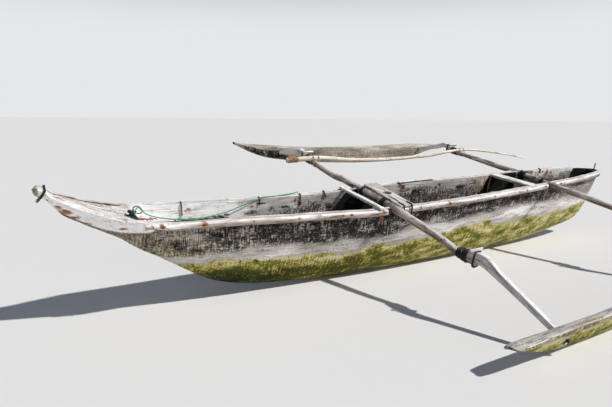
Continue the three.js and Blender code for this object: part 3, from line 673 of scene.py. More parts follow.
# %% Hull stations
HULL = [
    # x, keel, rim, half beam, fullness, wall, hollow
    (-2385, 842, 878, 20, 1.6, 6, 0),
    (-2360, 826, 888, 36, 1.6, 10, 3),
    (-2325, 806, 872, 39, 1.5, 12, 4),
    (-2296, 768, 842, 42, 1.4, 12, 5),
    (-2246, 705, 818, 60, 1.4, 14, 8),
    (-2156, 645, 782, 84, 1.4, 18, 12),
    (-2048, 580, 738, 113, 1.4, 22, 16),
    (-1950, 520, 706, 136, 1.4, 25, 20),
    (-1895, 474, 691, 149, 1.4, 27, 26),
    (-1865, 450, 683, 155, 1.45, 28, 105),
    (-1790, 400, 666, 164, 1.5, 30, 190),
    (-1620, 284, 649, 164, 1.55, 30, 295),
    (-1451, 164, 641, 164, 1.8, 30, 410),
    (-1300, 86, 634, 166, 2.1, 30, 484),
    (-1050, 20, 619, 174, 2.5, 30, 536),
    (-705, -24, 603, 190, 2.8, 30, 572),
    (-400, -46, 592, 209, 2.9, 30, 580),
    (-250, -51, 586, 220, 3, 30, 580),
    (-144, -54, 586, 228, 3, 30, 582),
    (200, -62, 586, 240, 3.1, 30, 592),
    (700, -75, 586, 240, 3.2, 30, 605),
    (1200, -87, 586, 219, 3.2, 30, 616),
    (1542, -95, 590, 206, 3.1, 30, 626),
    (1800, -92, 596, 199, 3, 30, 628),
    (2129, -70, 603, 185, 2.8, 30, 612),
    (2450, -36, 604, 164, 2.6, 30, 580),
    (2700, -2, 605, 134, 2.4, 28, 546),
    (2900, 40, 604, 98, 2.2, 26, 494),
    (2975, 118, 602, 80, 2, 24, 330),
    (3005, 208, 601, 68, 1.8, 22, 20),
    (3060, 326, 597, 50, 1.6, 16, 8),
    (3110, 468, 592, 30, 1.5, 10, 4),
    (3132, 540, 588, 16, 1.5, 5, 2),
]
hull_at = batten(HULL)
BOOM_SEATS = [(0, 580, 30), (1990, 580, 28)]  # x, z, radius where a boom crosses
WATERLINE_MOSS = [  # x, height of the moss's upper edge
    (-2385, 300), (-1550, 301), (-1220, 290), (-1000, 262), (-700, 251), (-360, 228), (-10, 238),
    (280, 270), (500, 254), (720, 260), (960, 286), (1230, 270), (1530, 248), (1820, 242),
    (2110, 230), (2360, 238), (3132, 236),
]
DARK_BAND_FOOT = [  # x, height of the lower edge of the dark band
    (-2385, 480), (-1660, 402), (-1350, 391), (-1230, 365), (-1150, 400), (-860, 374), (-550, 332),
    (-390, 340), (-50, 338), (250, 380), (450, 388), (680, 374), (920, 390), (1450, 393),
    (1740, 405), (2260, 388), (2680, 352), (3132, 350),
]
BOW_WHITE = [  # x, lower edge of the bleached band along the bow's rim
    (-2385, 700), (-2260, 728), (-2190, 692), (-2110, 646), (-2048, 616), (-1940, 594),
    (-1800, 596), (-1735, 640), (3132, 640),
]
moss_at, dark_foot_at, bow_white_at = batten(WATERLINE_MOSS), batten(DARK_BAND_FOOT), batten(BOW_WHITE)

# %% Hull sections


def girth(half, top, bottom, fullness, count):
    """count points from the port rim under the keel to the starboard rim, evenly spaced."""
    turn = np.linspace(0, math.pi, 360)
    y = -half * np.cos(turn)
    z = top - (top - bottom) * np.sin(turn) ** (2 / fullness)
    run = np.concatenate([[0], np.cumsum(np.hypot(np.diff(y), np.diff(z)))])
    wanted = np.linspace(0, run[-1], count)
    return np.stack([np.interp(wanted, run, y), np.interp(wanted, run, z)], 1), wanted


OUTSIDE, INSIDE, CORNER = 92, 66, 4  # points round each part of a section
HULL_STEP = 11
EDGE = 4  # rounding of the rim
KNOB_ROUND = 12  # mm over which the knob at the bow closes
SHOULDER = 34  # most that wear has taken off the beak's upper edges
BOW, STERN = HULL[0][0], HULL[-1][0]
RIB = 26  # mm from one adze rib to the next
# Rings stand closer where a boom's notch is cut and where the section changes fast.
half_notch = np.array([0, 9, 18, 25, 28.5, 30.2, 30.9])
notches = [x + side * half_notch for x, _, _ in BOOM_SEATS for side in (-1, 1)]
hull_xs = np.unique(np.concatenate([
    np.arange(BOW, STERN, HULL_STEP), [STERN - 0.1], *notches,
    [BOW + 1, BOW + 3, BOW + 7, -1880, -1872, 2990, 3000],
]))


def hull_ring(x):
    """A section's points, their way along its face, which face it is, and that face's length."""
    keel, rim, half, fullness, wall, hollow = hull_at(x)[0]
    edge = min(EDGE, 0.35 * hollow + 0.5)
    outer, run = girth(half, rim - edge, keel, fullness, OUTSIDE)
    hollow_floor = rim - max(hollow, edge + 0.4)
    inner, run_in = girth(half - wall, rim - edge, hollow_floor, fullness, INSIDE)
    top = rim - 0.3 * edge
    corner = np.array([
        (half - 0.3 * edge, top), (half - edge, rim), (half - wall + edge, rim),
        (half - wall + 0.3 * edge, top),
    ])
    ring = np.vstack([outer, corner, inner[::-1], corner[::-1] * (-1, 1)])
    shoulder = min(SHOULDER, 0.42 * half) * float(fade(x, -1960, -1830))
    if shoulder > 0:
        below = np.clip(rim - ring[:, 1], 0, shoulder)
        inset = shoulder - np.sqrt(shoulder**2 - (shoulder - below) ** 2)
        out = np.abs(ring[:, 0])
        ring[:, 0] -= np.sign(ring[:, 0]) * np.minimum(inset, out) * (out > half - shoulder)
    middle = ring.mean(0)
    closing = min(1, 0.45 + 0.55 * math.sqrt(min(1, (x - BOW) / KNOB_ROUND)))
    counts = (OUTSIDE, CORNER, INSIDE, CORNER)
    inward = np.repeat((0, 0.5, 1, 0.5), counts)
    whole = np.repeat((run[-1], run[-1], run_in[-1], run_in[-1]), counts)
    around = np.concatenate([run, np.full(CORNER, run[-1]), run_in[::-1], np.zeros(CORNER)])
    return middle + (ring - middle) * closing, around, inward, whole


# %% Hull loft
rings = [hull_ring(x) for x in hull_xs]
hull_grid = np.array([[(x, y, z) for y, z in ring] for x, (ring, *_) in zip(hull_xs, rings)])
hull_around, hull_inward, girths = (np.array([ring[k] for ring in rings]) for k in (1, 2, 3))
x, y, z = np.moveaxis(hull_grid, -1, 0)
rim, half, wall = (hull_at(hull_xs)[:, k][:, None] for k in (1, 2, 4))

# The adze leaves lumps, and ribs across the bow's flanks. The rim is worn and nicked.
adze = 1.7 * lumps(hull_grid, 90, 55, 60) + 0.9 * lumps(hull_grid + 500, 34, 22, 24)
ribbed = stretch(x, -2150, -1950, -1350, -900) * (1 - hull_inward)
rib_phase = x * 2 * math.pi / RIB + 3 * lumps(hull_grid, 160, 80, 80)
adze = adze + 0.9 * ribbed * np.sin(rib_phase)
on_rim = hull_inward == 0.5
hull_grid, hull_normal = roughened(hull_grid, adze * np.where(on_rim, 1.6, 1.0) - 1.2)
nicks = ramp(lumps(hull_grid, 70, 400, 400), 0.45, 0.9) * on_rim
hull_grid[..., 2] -= 5 * nicks
for seat_x, seat_z, seat_radius in BOOM_SEATS:
    room = seat_radius + 0.5
    seat_floor = seat_z - np.sqrt(np.maximum(room**2 - (x - seat_x) ** 2, 0))
    cut = np.minimum(hull_grid[..., 2], seat_floor)
    hull_grid[..., 2] = np.where(np.abs(x - seat_x) < room, cut, hull_grid[..., 2])
print("hull:", *hull_grid.shape[:2], "rings and points round")

# %% [markdown]
# ## What years of use have left on the hull, with painted light and shade
# Five marks say where the finish shows each stain, from 0 for none. Weed grows up to
# the waterline, black mould hangs below the rim, the hollow grows darker towards its
# floor and is painted with shadow in its corners, rust bleeds from old nails, and the
# sun mark bleaches what faces it and partly paints light. Places are mm along the
# hull, and heights are mm above its straight keel line.

# %% Weed
outside = 1.0 * (hull_inward < 0.1)
inside = 1.0 * (hull_inward > 0.9)
deep = rim - z
wander = 26 * lumps(hull_grid, 190, 300, 300) + 12 * lumps(hull_grid, 60, 100, 100)
broken_edge = 12 * lumps(hull_grid, 40, 40, 30) + 7 * lumps(hull_grid + 200, 15, 15, 15)
moss_line, dark_foot = moss_at(hull_xs), dark_foot_at(hull_xs)
most_weed = 1.2 + 0.6 * fade(x, -300, 600) - 0.22 * ramp(x, 850, 1250) + 2.0 * fade(x, -1250, -600)
hull_moss = outside * np.minimum(np.clip((moss_line + 45 - z + wander) / 70, 0, 4), most_weed)
print("weed covers", round(100 * float((hull_moss > 0.5).mean())), "% of the hull's points")

# %% Black mould in a band under the rim; the hollow darker towards its floor, and painted shadow in its corners
bare_ends = (0.4 + 0.6 * ramp(x, -1620, -1150)) * (1 - 0.45 * ramp(x, 2150, 2400))
dark_band = outside * ramp(z - dark_foot + wander, -45, 60) * bare_ends * 0.87
behind_bow = ramp(x, -1150, -900)
lower_wall = ramp(deep - 95 + 62 * ramp(x, -820, -480) + wander, -25, 45) * behind_bow
floor_dark = ramp(deep - 105 + wander, -20, 40) * behind_bow
# Painted shadow in the hollow: black aft of a slanting edge under each board, where the boards' shadow
# falls, and in the stern's end.
painted_shadow_under_boards = ramp(x + 130 + 0.78 * deep, -8, 8) * fade(x, 120, 170)
painted_shadow_under_boards = painted_shadow_under_boards + ramp(x - 1565 + 0.5 * deep, -8, 8) * fade(x, 1900, 1960)
painted_shadow_stern_end = ramp(x - 2810 + 0.25 * deep, -8, 8)
corners = 3.0 * (painted_shadow_under_boards + painted_shadow_stern_end) * fade(deep, 190, 320)
inner_soot_and_shade = 0.06 + 0.36 * lower_wall * (1 + 0.3 * ramp(x, 200, 500)) + 0.22 * floor_dark + corners
hull_soot_and_shade = dark_band + inside * inner_soot_and_shade

# %% Black mould as single stains, painted shadow of the rope and rim, and dark edges
HULL_STAINS = [
    # x, height, length, depth, lean, strength of dark stains on the port side
    (-1390, 536, 130, 24, -0.3, 1.7), (-1230, 478, 90, 22, -0.4, 1.5),
    (-1600, 455, 60, 20, 0.2, 0.8), (-1420, 592, 110, 7, 0, 1.2), (-1510, 425, 70, 18, 0.1, 0.9),
    (-1430, 450, 60, 16, -0.1, 0.9), (-1740, 540, 50, 14, 0.3, 0.8),
    (-1646, 503, 18, 36, 0.3, 2.4), (-1590, 496, 13, 14, 0, 2.0), (-1250, 410, 60, 14, 0, 0.9),
    (-1000, 545, 120, 18, 0, 1.6), (-620, 520, 130, 22, 0.05, 1.7), (-330, 500, 120, 20, 0, 1.5),
    (380, 505, 130, 22, 0, 1.5), (2560, 522, 190, 26, 0, 1.3), (2250, 500, 120, 24, 0, 1.1),
    (1500, 500, 160, 20, 0, 1.3), (960, 512, 150, 20, 0, 1.4),
]
INNER_STAINS_AND_SHADOWS = [
    # x, distance below the rim, length, depth, lean, strength on the starboard wall inside;
    # the first three are the painted shadow of the near rim and of the rope
    (-1510, 121, 100, 8, 0.04, 1.3), (-1350, 128, 80, 9, -0.05, 1.3),
    (-1235, 112, 60, 8, -0.18, 1.2), (-1010, 112, 90, 16, 0, 0.9), (-930, 46, 70, 8, -0.05, 1.0),
    (-840, 100, 60, 14, 0, 0.9), (-730, 88, 70, 18, 0.1, 0.9), (-590, 62, 26, 16, 0, 1.0),
    (-505, 60, 22, 12, 0, 0.9), (-420, 96, 70, 24, 0, 1.1), (-320, 120, 60, 26, 0, 1.1),
    (520, 70, 90, 16, 0, 0.9), (900, 52, 120, 14, 0.03, 1.1), (1180, 90, 90, 20, 0, 1.2),
    (640, 96, 80, 26, 0, 1.2), (1380, 60, 60, 16, 0, 1.0), (2330, 96, 60, 12, 0, 1.0),
    (2250, 60, 26, 10, 0, 0.9), (2460, 70, 26, 12, 0, 0.8),
]
for table, face, measured in (
    (HULL_STAINS, outside * (y < 0), z), (INNER_STAINS_AND_SHADOWS, inside * (y > 0), deep)
):
    for place_x, height, length, depth, lean_by, strength in table:
        off = measured - height - lean_by * (x - place_x) + broken_edge
        stain = strength * spot((x - place_x) / length, off / depth)
        hull_soot_and_shade = np.maximum(hull_soot_and_shade, face * stain)
# Painted shade: a dark spot in the rope's hole under the bow deck, and a dark line along the near
# rim's inner edge where the hollow lies in shade. far_edge is a dark line along the far rim.
painted_shade_rope_hole = spot((x + 1888) / 18, (y + 38) / 40) * (1 - outside) * (deep < 60)
painted_shade_near_edge = on_rim * (y < 0) * (half + y > 0.6 * wall) * stretch(x, -1740, -1660, -1340, -1270)
far_edge = on_rim * (y > 0) * stretch(x, 380, 430, 810, 860)
hull_soot_and_shade = np.maximum(hull_soot_and_shade, 1.9 * painted_shade_rope_hole)
hull_soot_and_shade = np.maximum(hull_soot_and_shade, 1.8 * painted_shade_near_edge + 1.2 * far_edge)
print("black mould:", len(HULL_STAINS), "stains outside and", len(INNER_STAINS_AND_SHADOWS), "inside")

# %% Rust
PORT, TOP, STARBOARD = -1, 0, 1
HULL_RUST = [
    # x, face, height or distance to starboard, length, depth, strength
    (-2268, -1, 770, 30, 12, 0.8), (-2236, -1, 740, 44, 18, 0.95), (-2194, -1, 702, 44, 15, 0.85),
    (-2140, -1, 656, 50, 12, 0.75), (-2088, -1, 618, 44, 10, 0.7), (-2318, -1, 812, 16, 10, 0.7),
    (-2300, -1, 796, 14, 8, 0.7), (-1944, -1, 625, 34, 8, 1.0), (-1652, -1, 505, 24, 44, 0.44),
    (-1592, -1, 496, 16, 18, 0.44), (-1860, -1, 588, 30, 12, 0.9), (-97, -1, 498, 20, 24, 0.95),
    (-1824, -1, 620, 22, 7, 0.8), (-1380, -1, 585, 30, 16, 0.7), (-520, -1, 545, 24, 22, 0.6),
    (2560, -1, 560, 20, 60, 0.6), (1966, -1, 520, 14, 80, 0.95), (-520, -1, 500, 9, 60, 0.5),
    (640, -1, 530, 12, 30, 0.5), (-2300, 0, -10, 22, 7, 0.9), (-2272, 0, -28, 26, 8, 1.0),
    (-2248, 0, -46, 20, 7, 0.9), (-2192, 0, 44, 34, 9, 1.1), (-2150, 0, -7, 34, 7, 1.0),
    (-2060, 0, 34, 26, 7, 0.9), (-1996, 0, 84, 24, 8, 1.0), (-2000, 0, 6, 26, 7, 0.7),
    (-2230, 0, 14, 26, 6, 0.7), (-2110, 0, 12, 22, 6, 0.7), (-1480, 1, 600, 22, 9, 0.9),
    (-1500, 1, 588, 12, 12, 0.8), (-1010, 1, 560, 22, 12, 0.9), (-640, 1, 560, 22, 30, 0.8),
    (-560, 1, 520, 18, 20, 0.7), (250, 1, 545, 44, 34, 1.0), (330, 1, 530, 40, 18, 0.6),
    (480, 1, 548, 30, 18, 1.2), (1250, 1, 566, 60, 7, 0.7), (1050, 1, 560, 30, 6, 0.6),
    (1440, 1, 520, 16, 110, 0.62), (1500, 1, 520, 20, 150, 0.66), (1580, 1, 500, 18, 170, 0.7),
    (1380, 1, 530, 14, 90, 0.55), (1340, 1, 540, 12, 60, 0.5), (2290, 1, 545, 16, 12, 1.0),
    (2350, 1, 578, 20, 9, 1.0), (2485, 1, 560, 18, 14, 1.1), (2530, 1, 540, 12, 10, 0.9),
    (2180, 1, 560, 26, 60, 0.8), (2250, 1, 550, 18, 60, 0.6), (2420, 1, 570, 22, 30, 0.9),
    (2400, 1, 540, 12, 50, 0.8),
]
rust_faces = {
    PORT: (y < 0) & (outside > 0), TOP: (np.abs(z - rim) < 60) & (outside < 1),
    STARBOARD: (y > 0) & (inside > 0),
}
hull_rust = np.zeros_like(x)
for place_x, face, middle, length, depth, strength in HULL_RUST:
    off = (y if face == TOP else z) - middle + 0.5 * broken_edge
    bleed = strength * spot((x - place_x) / length, off / depth) * rust_faces[face]
    hull_rust = np.maximum(hull_rust, bleed)
print("rust:", len(HULL_RUST), "marks")

# %% Sun, ribs and earth
up = np.clip(hull_normal[..., 2], 0, 1)
low_pale = outside * ramp(z, moss_line - 40, moss_line + 60)
low_pale = low_pale * (1 - ramp(z, dark_foot - 50, dark_foot + 50))
white_rim = outside * ramp(z - bow_white_at(hull_xs), -6, 10)
bow_inside = 0.85 * inside * fade(x, -1250, -950)
painted_light_stern_inside = 0.85 * inside * (y > 0) * ramp(x, 2120, 2200) * fade(deep, 90, 150)
# The sun mark is partly sun bleaching and partly painted light: faces turned up are painted lighter,
# the bow's bleached band lighter on its sides than on top, and the stern's inner starboard wall is
# painted as if lit.
hull_sun = outside * (0.1 + up) + inside * (0.5 + 0.3 * up) + 0.9 * on_rim
hull_sun = hull_sun + low_pale * (0.4 + 0.4 * ramp(x, -200, 700))
hull_sun = hull_sun + (1.85 - 1.5 * up) * white_rim + bow_inside + painted_light_stern_inside
hull_sun = np.clip(hull_sun, 0, 1.6)
beak_top = fade(x, -1880, -1780) * ramp(up, 0.2, 0.5)
hull_sun = hull_sun - (hull_sun - 0.86) * beak_top
hull_soot_and_shade = hull_soot_and_shade * (1 - white_rim)
flank = stretch(x, -1660, -1600, -1500, -1430) * stretch(z, 450, 490, 525, 560)
low_bow = fade(x, -1350, -700) * ramp(z, 330, 420)
earthy = outside * np.maximum(low_bow, 0.9 * fade(x, -2000, -1900)) * (1 - white_rim)
from_rim = np.where(y < 0, hull_around, girths - hull_around)

# %% Hull
hull_marks = {
    "grain": points_of(x, from_rim, hull_inward * 4000 + y) * MM,
    "sun": hull_sun, "moss": hull_moss, "soot_and_shade": hull_soot_and_shade, "rust": hull_rust,
    "ribs": 0.7 * outside * flank,
    "tan": 0.85 * np.maximum(earthy, 0.75 * fade(x, -2366, -2352)),
}
make("dugout_hull", hull_grid, hull_marks, hull_finish, "hull_wood", ["hull"])

# %% [markdown]
# ## The rails
# A half-round rail, split from a pole, is nailed along each side just under the
# rim, in three runs, because the booms cross in its gaps. The top is bleached and
# painted lighter, the underside is painted grey as shade, and rust has bled round
# each nail. A rail is lofted, its inner face fitted to the hull's side and its outer
# face between a circle and a square.

# %% Rails
SIDES = ((-1, "port"), (1, "starboard"))
RAIL_SIZE, RAIL_OFFSET, RAIL_DROP = 46, 13, 25
RAIL_RUNS = {"fore": (-1830, -66), "mid": (60, 1925), "aft": (2052, 3010)}
RAIL_START = RAIL_RUNS["fore"][0]
RAIL_BACK = np.array([46, 36, 24, 12, 4])  # mm below the rim of the points on the hull's side
RAIL_NAILS = {
    # x of each nail that has bled rust on this side
    -1: [-1792, -1735, -1480, -1150, -820, -470, -395, -110, 250, 568, 606, 1130, 1590, 1880,
         2130, 2560, 2900],
    1: [-1760, -1500, -1190, -860, -520, -140, 110, 430, 800, 1240, 1610, 1900, 2090, 2400,
        2520, 2850],
}


def rail(side, first, last):
    xs = stations(first, last, 9.0)
    keel, rim, half, fullness = (hull_at(xs)[:, k][:, None] for k in range(4))
    shape = squarish(44, 2.7)
    shape = shape[shape[:, 0] > -1e-6]
    shape = shape[np.argsort(-shape[:, 1])]
    taper = (0.35 + 0.65 * ramp(xs, RAIL_START, RAIL_START + 170))[:, None]
    uneven = lumps(points_of(xs, side * 90, 0), 420, 50, 50)[:, None]
    size = RAIL_SIZE / 2 * (1 + 0.05 * uneven) * taper
    hull_side = half * np.cos(np.arcsin((RAIL_BACK / (rim - keel)) ** (fullness / 2)))
    out = np.hstack([half + RAIL_OFFSET * taper + size * shape[:, 0], hull_side])
    up = np.hstack([rim - RAIL_DROP + size * shape[:, 1], rim - RAIL_BACK])
    inset = eased(xs, 0.28, 5, 2)[:, None]
    out, up = (v.mean(1, keepdims=True) + (v - v.mean(1, keepdims=True)) * inset for v in (out, up))
    grid = points_of(xs[:, None], side * out, up)
    rough = 1.1 * lumps(grid, 150, 18, 18) + 0.7 * lumps(grid + 300, 50, 7, 7)
    groove = 2.2 * ramp(lumps(grid + 900, 420, 9, 9), 0.62, 0.8)
    grid, normal = roughened(grid, rough - groove)
    rust = np.zeros(grid.shape[:2])
    for k, nail in enumerate(RAIL_NAILS[side]):  # each mark has a size and strength of its own
        size_here, strength = 9 + 9 * (k * 7 % 5) / 4, 0.6 + 0.4 * (k * 3 % 4) / 3
        bleed = spot((grid[..., 0] - nail) / (1.6 * size_here), (grid[..., 2] - rim + 16) / size_here)
        rust = np.maximum(rust, bleed * strength)
    bare = fade(xs, RAIL_START + 40, RAIL_START + 240)[:, None]
    # Faces turned up are painted lighter by the sun mark, and undersides darker by the soot and shade
    # mark, as painted light and shade over patchy dirt.
    sun = 0.12 + 1.05 * normal[..., 2] + 0.9 * bare + 0.14 * ramp(xs, 300, 1200)[:, None]
    dirt = 0.34 * ramp(lumps(grid + 60, 90, 30, 30), 0.3, 1.0)
    soot_and_shade = (0.35 * fade(normal[..., 2], -0.4, 0.1) + dirt) * (1 - bare)
    grain = points_of(grid[..., 0], np.arange(out.shape[1]) * 3.4, side * 700.0) * MM
    return grid, {"grain": grain, "sun": np.clip(sun, 0, 1.2), "rust": rust, "soot_and_shade": soot_and_shade}


for side, side_name in SIDES:
    for run, (first, last) in RAIL_RUNS.items():
        label, solid = f"{side_name}_{run}", rail(side, first, last)
        make(f"rail_{label}", *solid, rail_finish, "bleached_wood", [f"strake_{label}"])

# %% [markdown]
# ## The booms and other round poles
# The booms are young trees with the bark off. They are never quite straight or
# round, and each carries a few knots. A pole is a swept circle whose radius swells
# at the knots. Where a strut is bound on, the top of the boom's end is cut flat.

# %% Boom tables
LAP, LAP_FLAT = 172, 10  # length of the cut flat and its height over the boom's axis
# The seat is a height and a radius, the axis rows are y, height and radius, the knots are y,
# angle and height, and the bindings at the hull are y and length.
BOOMS = {
    "fore": {
        "x": 0, "seat": (580, 30),
        "axis": [(-1078, 532, 20), (-906, 541, 23), (-728, 562, 26), (-437, 573, 30),
                 (-260, 580, 30), (260, 580, 30), (421, 580, 30), (609, 563, 28), (815, 566, 26),
                 (1008, 576, 24), (1180, 570, 22)],
        "knots": [(-840, 0.6, 3), (-612, 2.3, 4), (-372, 1.2, 3), (470, 1.5, 5), (640, 0.4, 4),
                  (905, 2.2, 3)],
        "bound": [(-120, 60), (152, 44)],
    },
    "aft": {
        "x": 1990, "seat": (580, 28),
        "axis": [(-1078, 566, 20), (-906, 576, 23), (-800, 584, 25), (-502, 586, 28),
                 (-260, 580, 28), (260, 580, 28), (406, 573, 28), (679, 564, 26), (1008, 557, 24),
                 (1180, 550, 22)],
        "knots": [(-690, 0.8, 4), (-420, 2.0, 3), (380, 1.3, 3), (560, 0.5, 4), (860, 2.4, 3)],
        "bound": [(-112, 50), (112, 74)],
    },
}


# %% A round pole


def round_pole(line, radii, knots=(), facets=32, bump=1.0, seed=0.0):
    """A swept round pole. knots lists the run, the angle and the height of each."""
    turn = np.linspace(0, 2 * math.pi, facets, endpoint=False)
    run, radii = run_of(line)[:, None], radii[:, None]
    bark = points_of(run, radii * np.cos(turn), radii * np.sin(turn)) + seed
    swell = radii + bump * (1.1 * lumps(bark, 130, 26, 26) + 0.5 * lumps(bark + 700, 36, 9, 9))
    for where, angle, height in knots:
        apart = np.angle(np.exp(1j * (turn - angle)))
        swell = swell + height * spot((run - where) / 20, apart / 0.5)
    swell[[0, -1]] *= 0.86
    grid = sweep(line, points_of(swell * np.cos(turn), swell * np.sin(turn)))
    dirt = 0.22 + 0.3 * lumps(bark + 350, 120, 22, 22)
    # The sun mark paints the upper faces lighter, partly as painted light.
    return grid, {
        "grain": points_of(run, turn * radii, 900.0 + seed) * MM,
        "sun": np.clip(0.3 + 0.7 * outward(grid)[..., 2], 0, 1), "soot_and_shade": np.clip(dirt, 0, 0.6),
    }


def ends_close(line, inset=2.5):
    """Adds a point just inside each end, so that the worn edge is short."""
    first, last = line[0], line[-1]
    a, b = first + unit(line[1] - first) * inset, last - unit(last - line[-2]) * inset
    return np.vstack([line[:1], a, line[1:-1], b, line[-1:]])


# %% Booms


def boom_end(boom, side):
    return boom["axis"][0 if side < 0 else -1][0]


def lap_height(boom, side, y):
    """Height of the lap's straight line at y, from the boom's axis at its two ends."""
    axis = np.array(boom["axis"])
    end = boom_end(boom, side)
    start = end - side * LAP
    z_start, z_end = np.interp([start, end], axis[:, 0], axis[:, 1])
    return z_start + (np.asarray(y, float) - start) / (end - start) * (z_end - z_start)


for name, boom in BOOMS.items():
    first, last = boom_end(boom, -1), boom_end(boom, 1)
    cuts = [first + LAP - 1, first + LAP + 1, last - LAP - 1, last - LAP + 1, last]
    ys = np.unique(np.concatenate([np.arange(first, last + 1, 7.0), cuts]))
    axis_at = batten(boom["axis"])
    line = ends_close(points_of(boom["x"], ys, axis_at(ys)[:, 0]))
    knots = [(y - first, angle, height) for y, angle, height in boom["knots"]]
    grid, marks = round_pole(line, axis_at(line[:, 1])[:, 1], knots, seed=boom["x"] * 0.7)
    for side, _ in SIDES:
        on_lap = (grid[..., 1] - boom_end(boom, side)) * side > -LAP
        flat = np.minimum(grid[..., 2], lap_height(boom, side, grid[..., 1]) + LAP_FLAT)
        grid[..., 2] = np.where(on_lap, flat, grid[..., 2])
    handled = fade(np.abs(grid[..., 1]), 240, 420)  # hands and bindings darken the middle
    marks["soot_and_shade"] = marks["soot_and_shade"] + 0.22 * handled
    marks["sun"] = marks["sun"] * (1 - 0.3 * handled)
    make(f"round_boom_{name}", grid, marks, boom_finish, "pole_wood", [f"boom_{name}"])

# %% Crossbars
CROSSBAR_RADIUS, CROSSBAR_POCKET = 20, 14
FIT = 0.3  # room between pieces that touch
for name, boom in BOOMS.items():
    seat_z, seat_radius = boom["seat"]
    _, _, half_beam, _, hull_wall, _ = hull_at(boom["x"])[0]
    reach = half_beam - hull_wall + CROSSBAR_POCKET
    below = seat_z - seat_radius - FIT - CROSSBAR_RADIUS
    line = ends_close(points_of(boom["x"], np.linspace(-reach, reach, 60), below))
    radii = np.full(len(line), CROSSBAR_RADIUS - 0.8)
    bar = round_pole(line, radii, [(150, 1.9, 2)], 24, 0.8, 300 + boom["x"])
    make(f"round_crossbar_{name}", *bar, boom_finish, "pole_wood", [f"crossbar_{name}"])

# %% [markdown]
# ## The struts
# Each strut is sawn from a crook. Its tongue lies on the boom's flat, a shoulder
# rises past the boom's end, and a straight arm drops to the float and passes right
# through it. The upright sections of the frame's strut are carried on a batten,
# with edges eased by wear.

# %% Strut sections
STRUT_ROOT = [  # distance past the boom's end, top, width
    (2 - LAP, 26, 30), (-68, 54, 38), (-32, 70, 42), (0, 84, 42), (40, 88, 40),
]
STRUT_ARM = [  # share of the way to the float, depth, width
    (0.25, 55, 34), (0.6, 48, 33), (0.9, 42, 31), (1.09, 38, 28),
]
ROOT_RISE = {-1: 1, 1: 0.72}  # the starboard shoulders are lower
FLOAT_Y, FLOAT_Z, FLOAT_CANT = 1700, 460, math.radians(15)
# How far below the float's middle line each strut passes through it.
STRUT_PASSES = {(-1, "fore"): -41, (-1, "aft"): -62, (1, "fore"): 0, (1, "aft"): -62}


def on_float(side, out, up):
    """A point given outboard and up along the canted float, as y and z of the canoe."""
    s, c = math.sin(FLOAT_CANT), math.cos(FLOAT_CANT)
    return side * (FLOAT_Y + up * s + out * c), FLOAT_Z + up * c - out * s


def strut_rows(name, side):
    """Distance out, low, high and width of each upright section of a strut."""
    boom = BOOMS[name]
    rows = []
    for past, top, width in STRUT_ROOT:
        y = boom_end(boom, side) + side * past
        flat = float(lap_height(boom, side, y)) + LAP_FLAT
        rows.append((side * y, flat + FIT, flat + (top - LAP_FLAT) * ROOT_RISE[side], width))
    out, low, high, _ = rows[-1]
    float_y, float_z = on_float(side, 0, STRUT_PASSES[side, name])
    for share, depth, width in STRUT_ARM:
        centre = (low + high) / 2 + (float_z - (low + high) / 2) * share
        reach = out + (side * float_y - out) * share
        rows.append((reach, centre - depth / 2, centre + depth / 2, width))
    return rows


# %% Struts


def strut(name, side):
    rows, boom_x = strut_rows(name, side), BOOMS[name]["x"]
    out = stations(rows[0][0], rows[-1][0], 8, (3,), (4,))
    end = out[-1]
    low, high, width = (column[:, None] for column in batten(rows)(out).T)
    shape = squarish(36, 5)
    ease = eased(out, 0.2, 4)[:, None]
    middle = (low + high) / 2
    x = boom_x + width * ease / 2 * shape[:, 0]
    z = middle + (high - low) * ease / 2 * shape[:, 1]
    grid = points_of(x, side * out[:, None], z)
    worn = 0.9 * lumps(grid, 26, 120, 26) + 0.5 * lumps(grid + 400, 8, 40, 8) - 0.5
    grid, normal = roughened(grid, worn)
    run = run_of(points_of(0, out, middle[:, 0]))[:, None] + 700 * side
    grain = points_of(run, grid[..., 0] - boom_x * 1.3, grid[..., 2] - middle) * MM
    # The tenon that comes up through the float: dark round its sides, pale on its broken cap.
    cap = ramp(out, end - 8, end - 4)[:, None]
    stained = (ramp(out, end - 40, end - 14)[:, None] - cap) * (side < 0)
    splintered = cap * (side < 0) * ramp(lumps(grid + 30, 14, 200, 14), -0.3, 0.1)
    foot = fade((z - low) / (high - low), 0.02, 0.35)
    # The sun mark paints faces turned up lighter, partly as painted light, and the broken cap pale.
    sun = np.maximum(np.clip(0.42 + 0.8 * normal[..., 2], 0, 1.2), 1.2 * cap)
    return grid, {
        "grain": grain, "sun": sun, "soot_and_shade": 0.8 * stained + 1.5 * splintered,
        "rust": 0.42 * foot * ramp(out, rows[4][0], rows[5][0])[:, None],
    }


for side, side_name in SIDES:
    for name in BOOMS:
        node = f"strut_{side_name}_{name}"
        make(f"strut_arm_{side_name}_{name}", *strut(name, side), strut_finish, "pale_wood", [node])

# %% [markdown]
# ## The floats
# A float is a thick plank on edge, boat-shaped, whose top leans outboard. Wear and
# weed have rounded its edges and eaten its ends. The near one is green with algae
# outside; the far one shows its grey inner face, banded where the wet ran down.

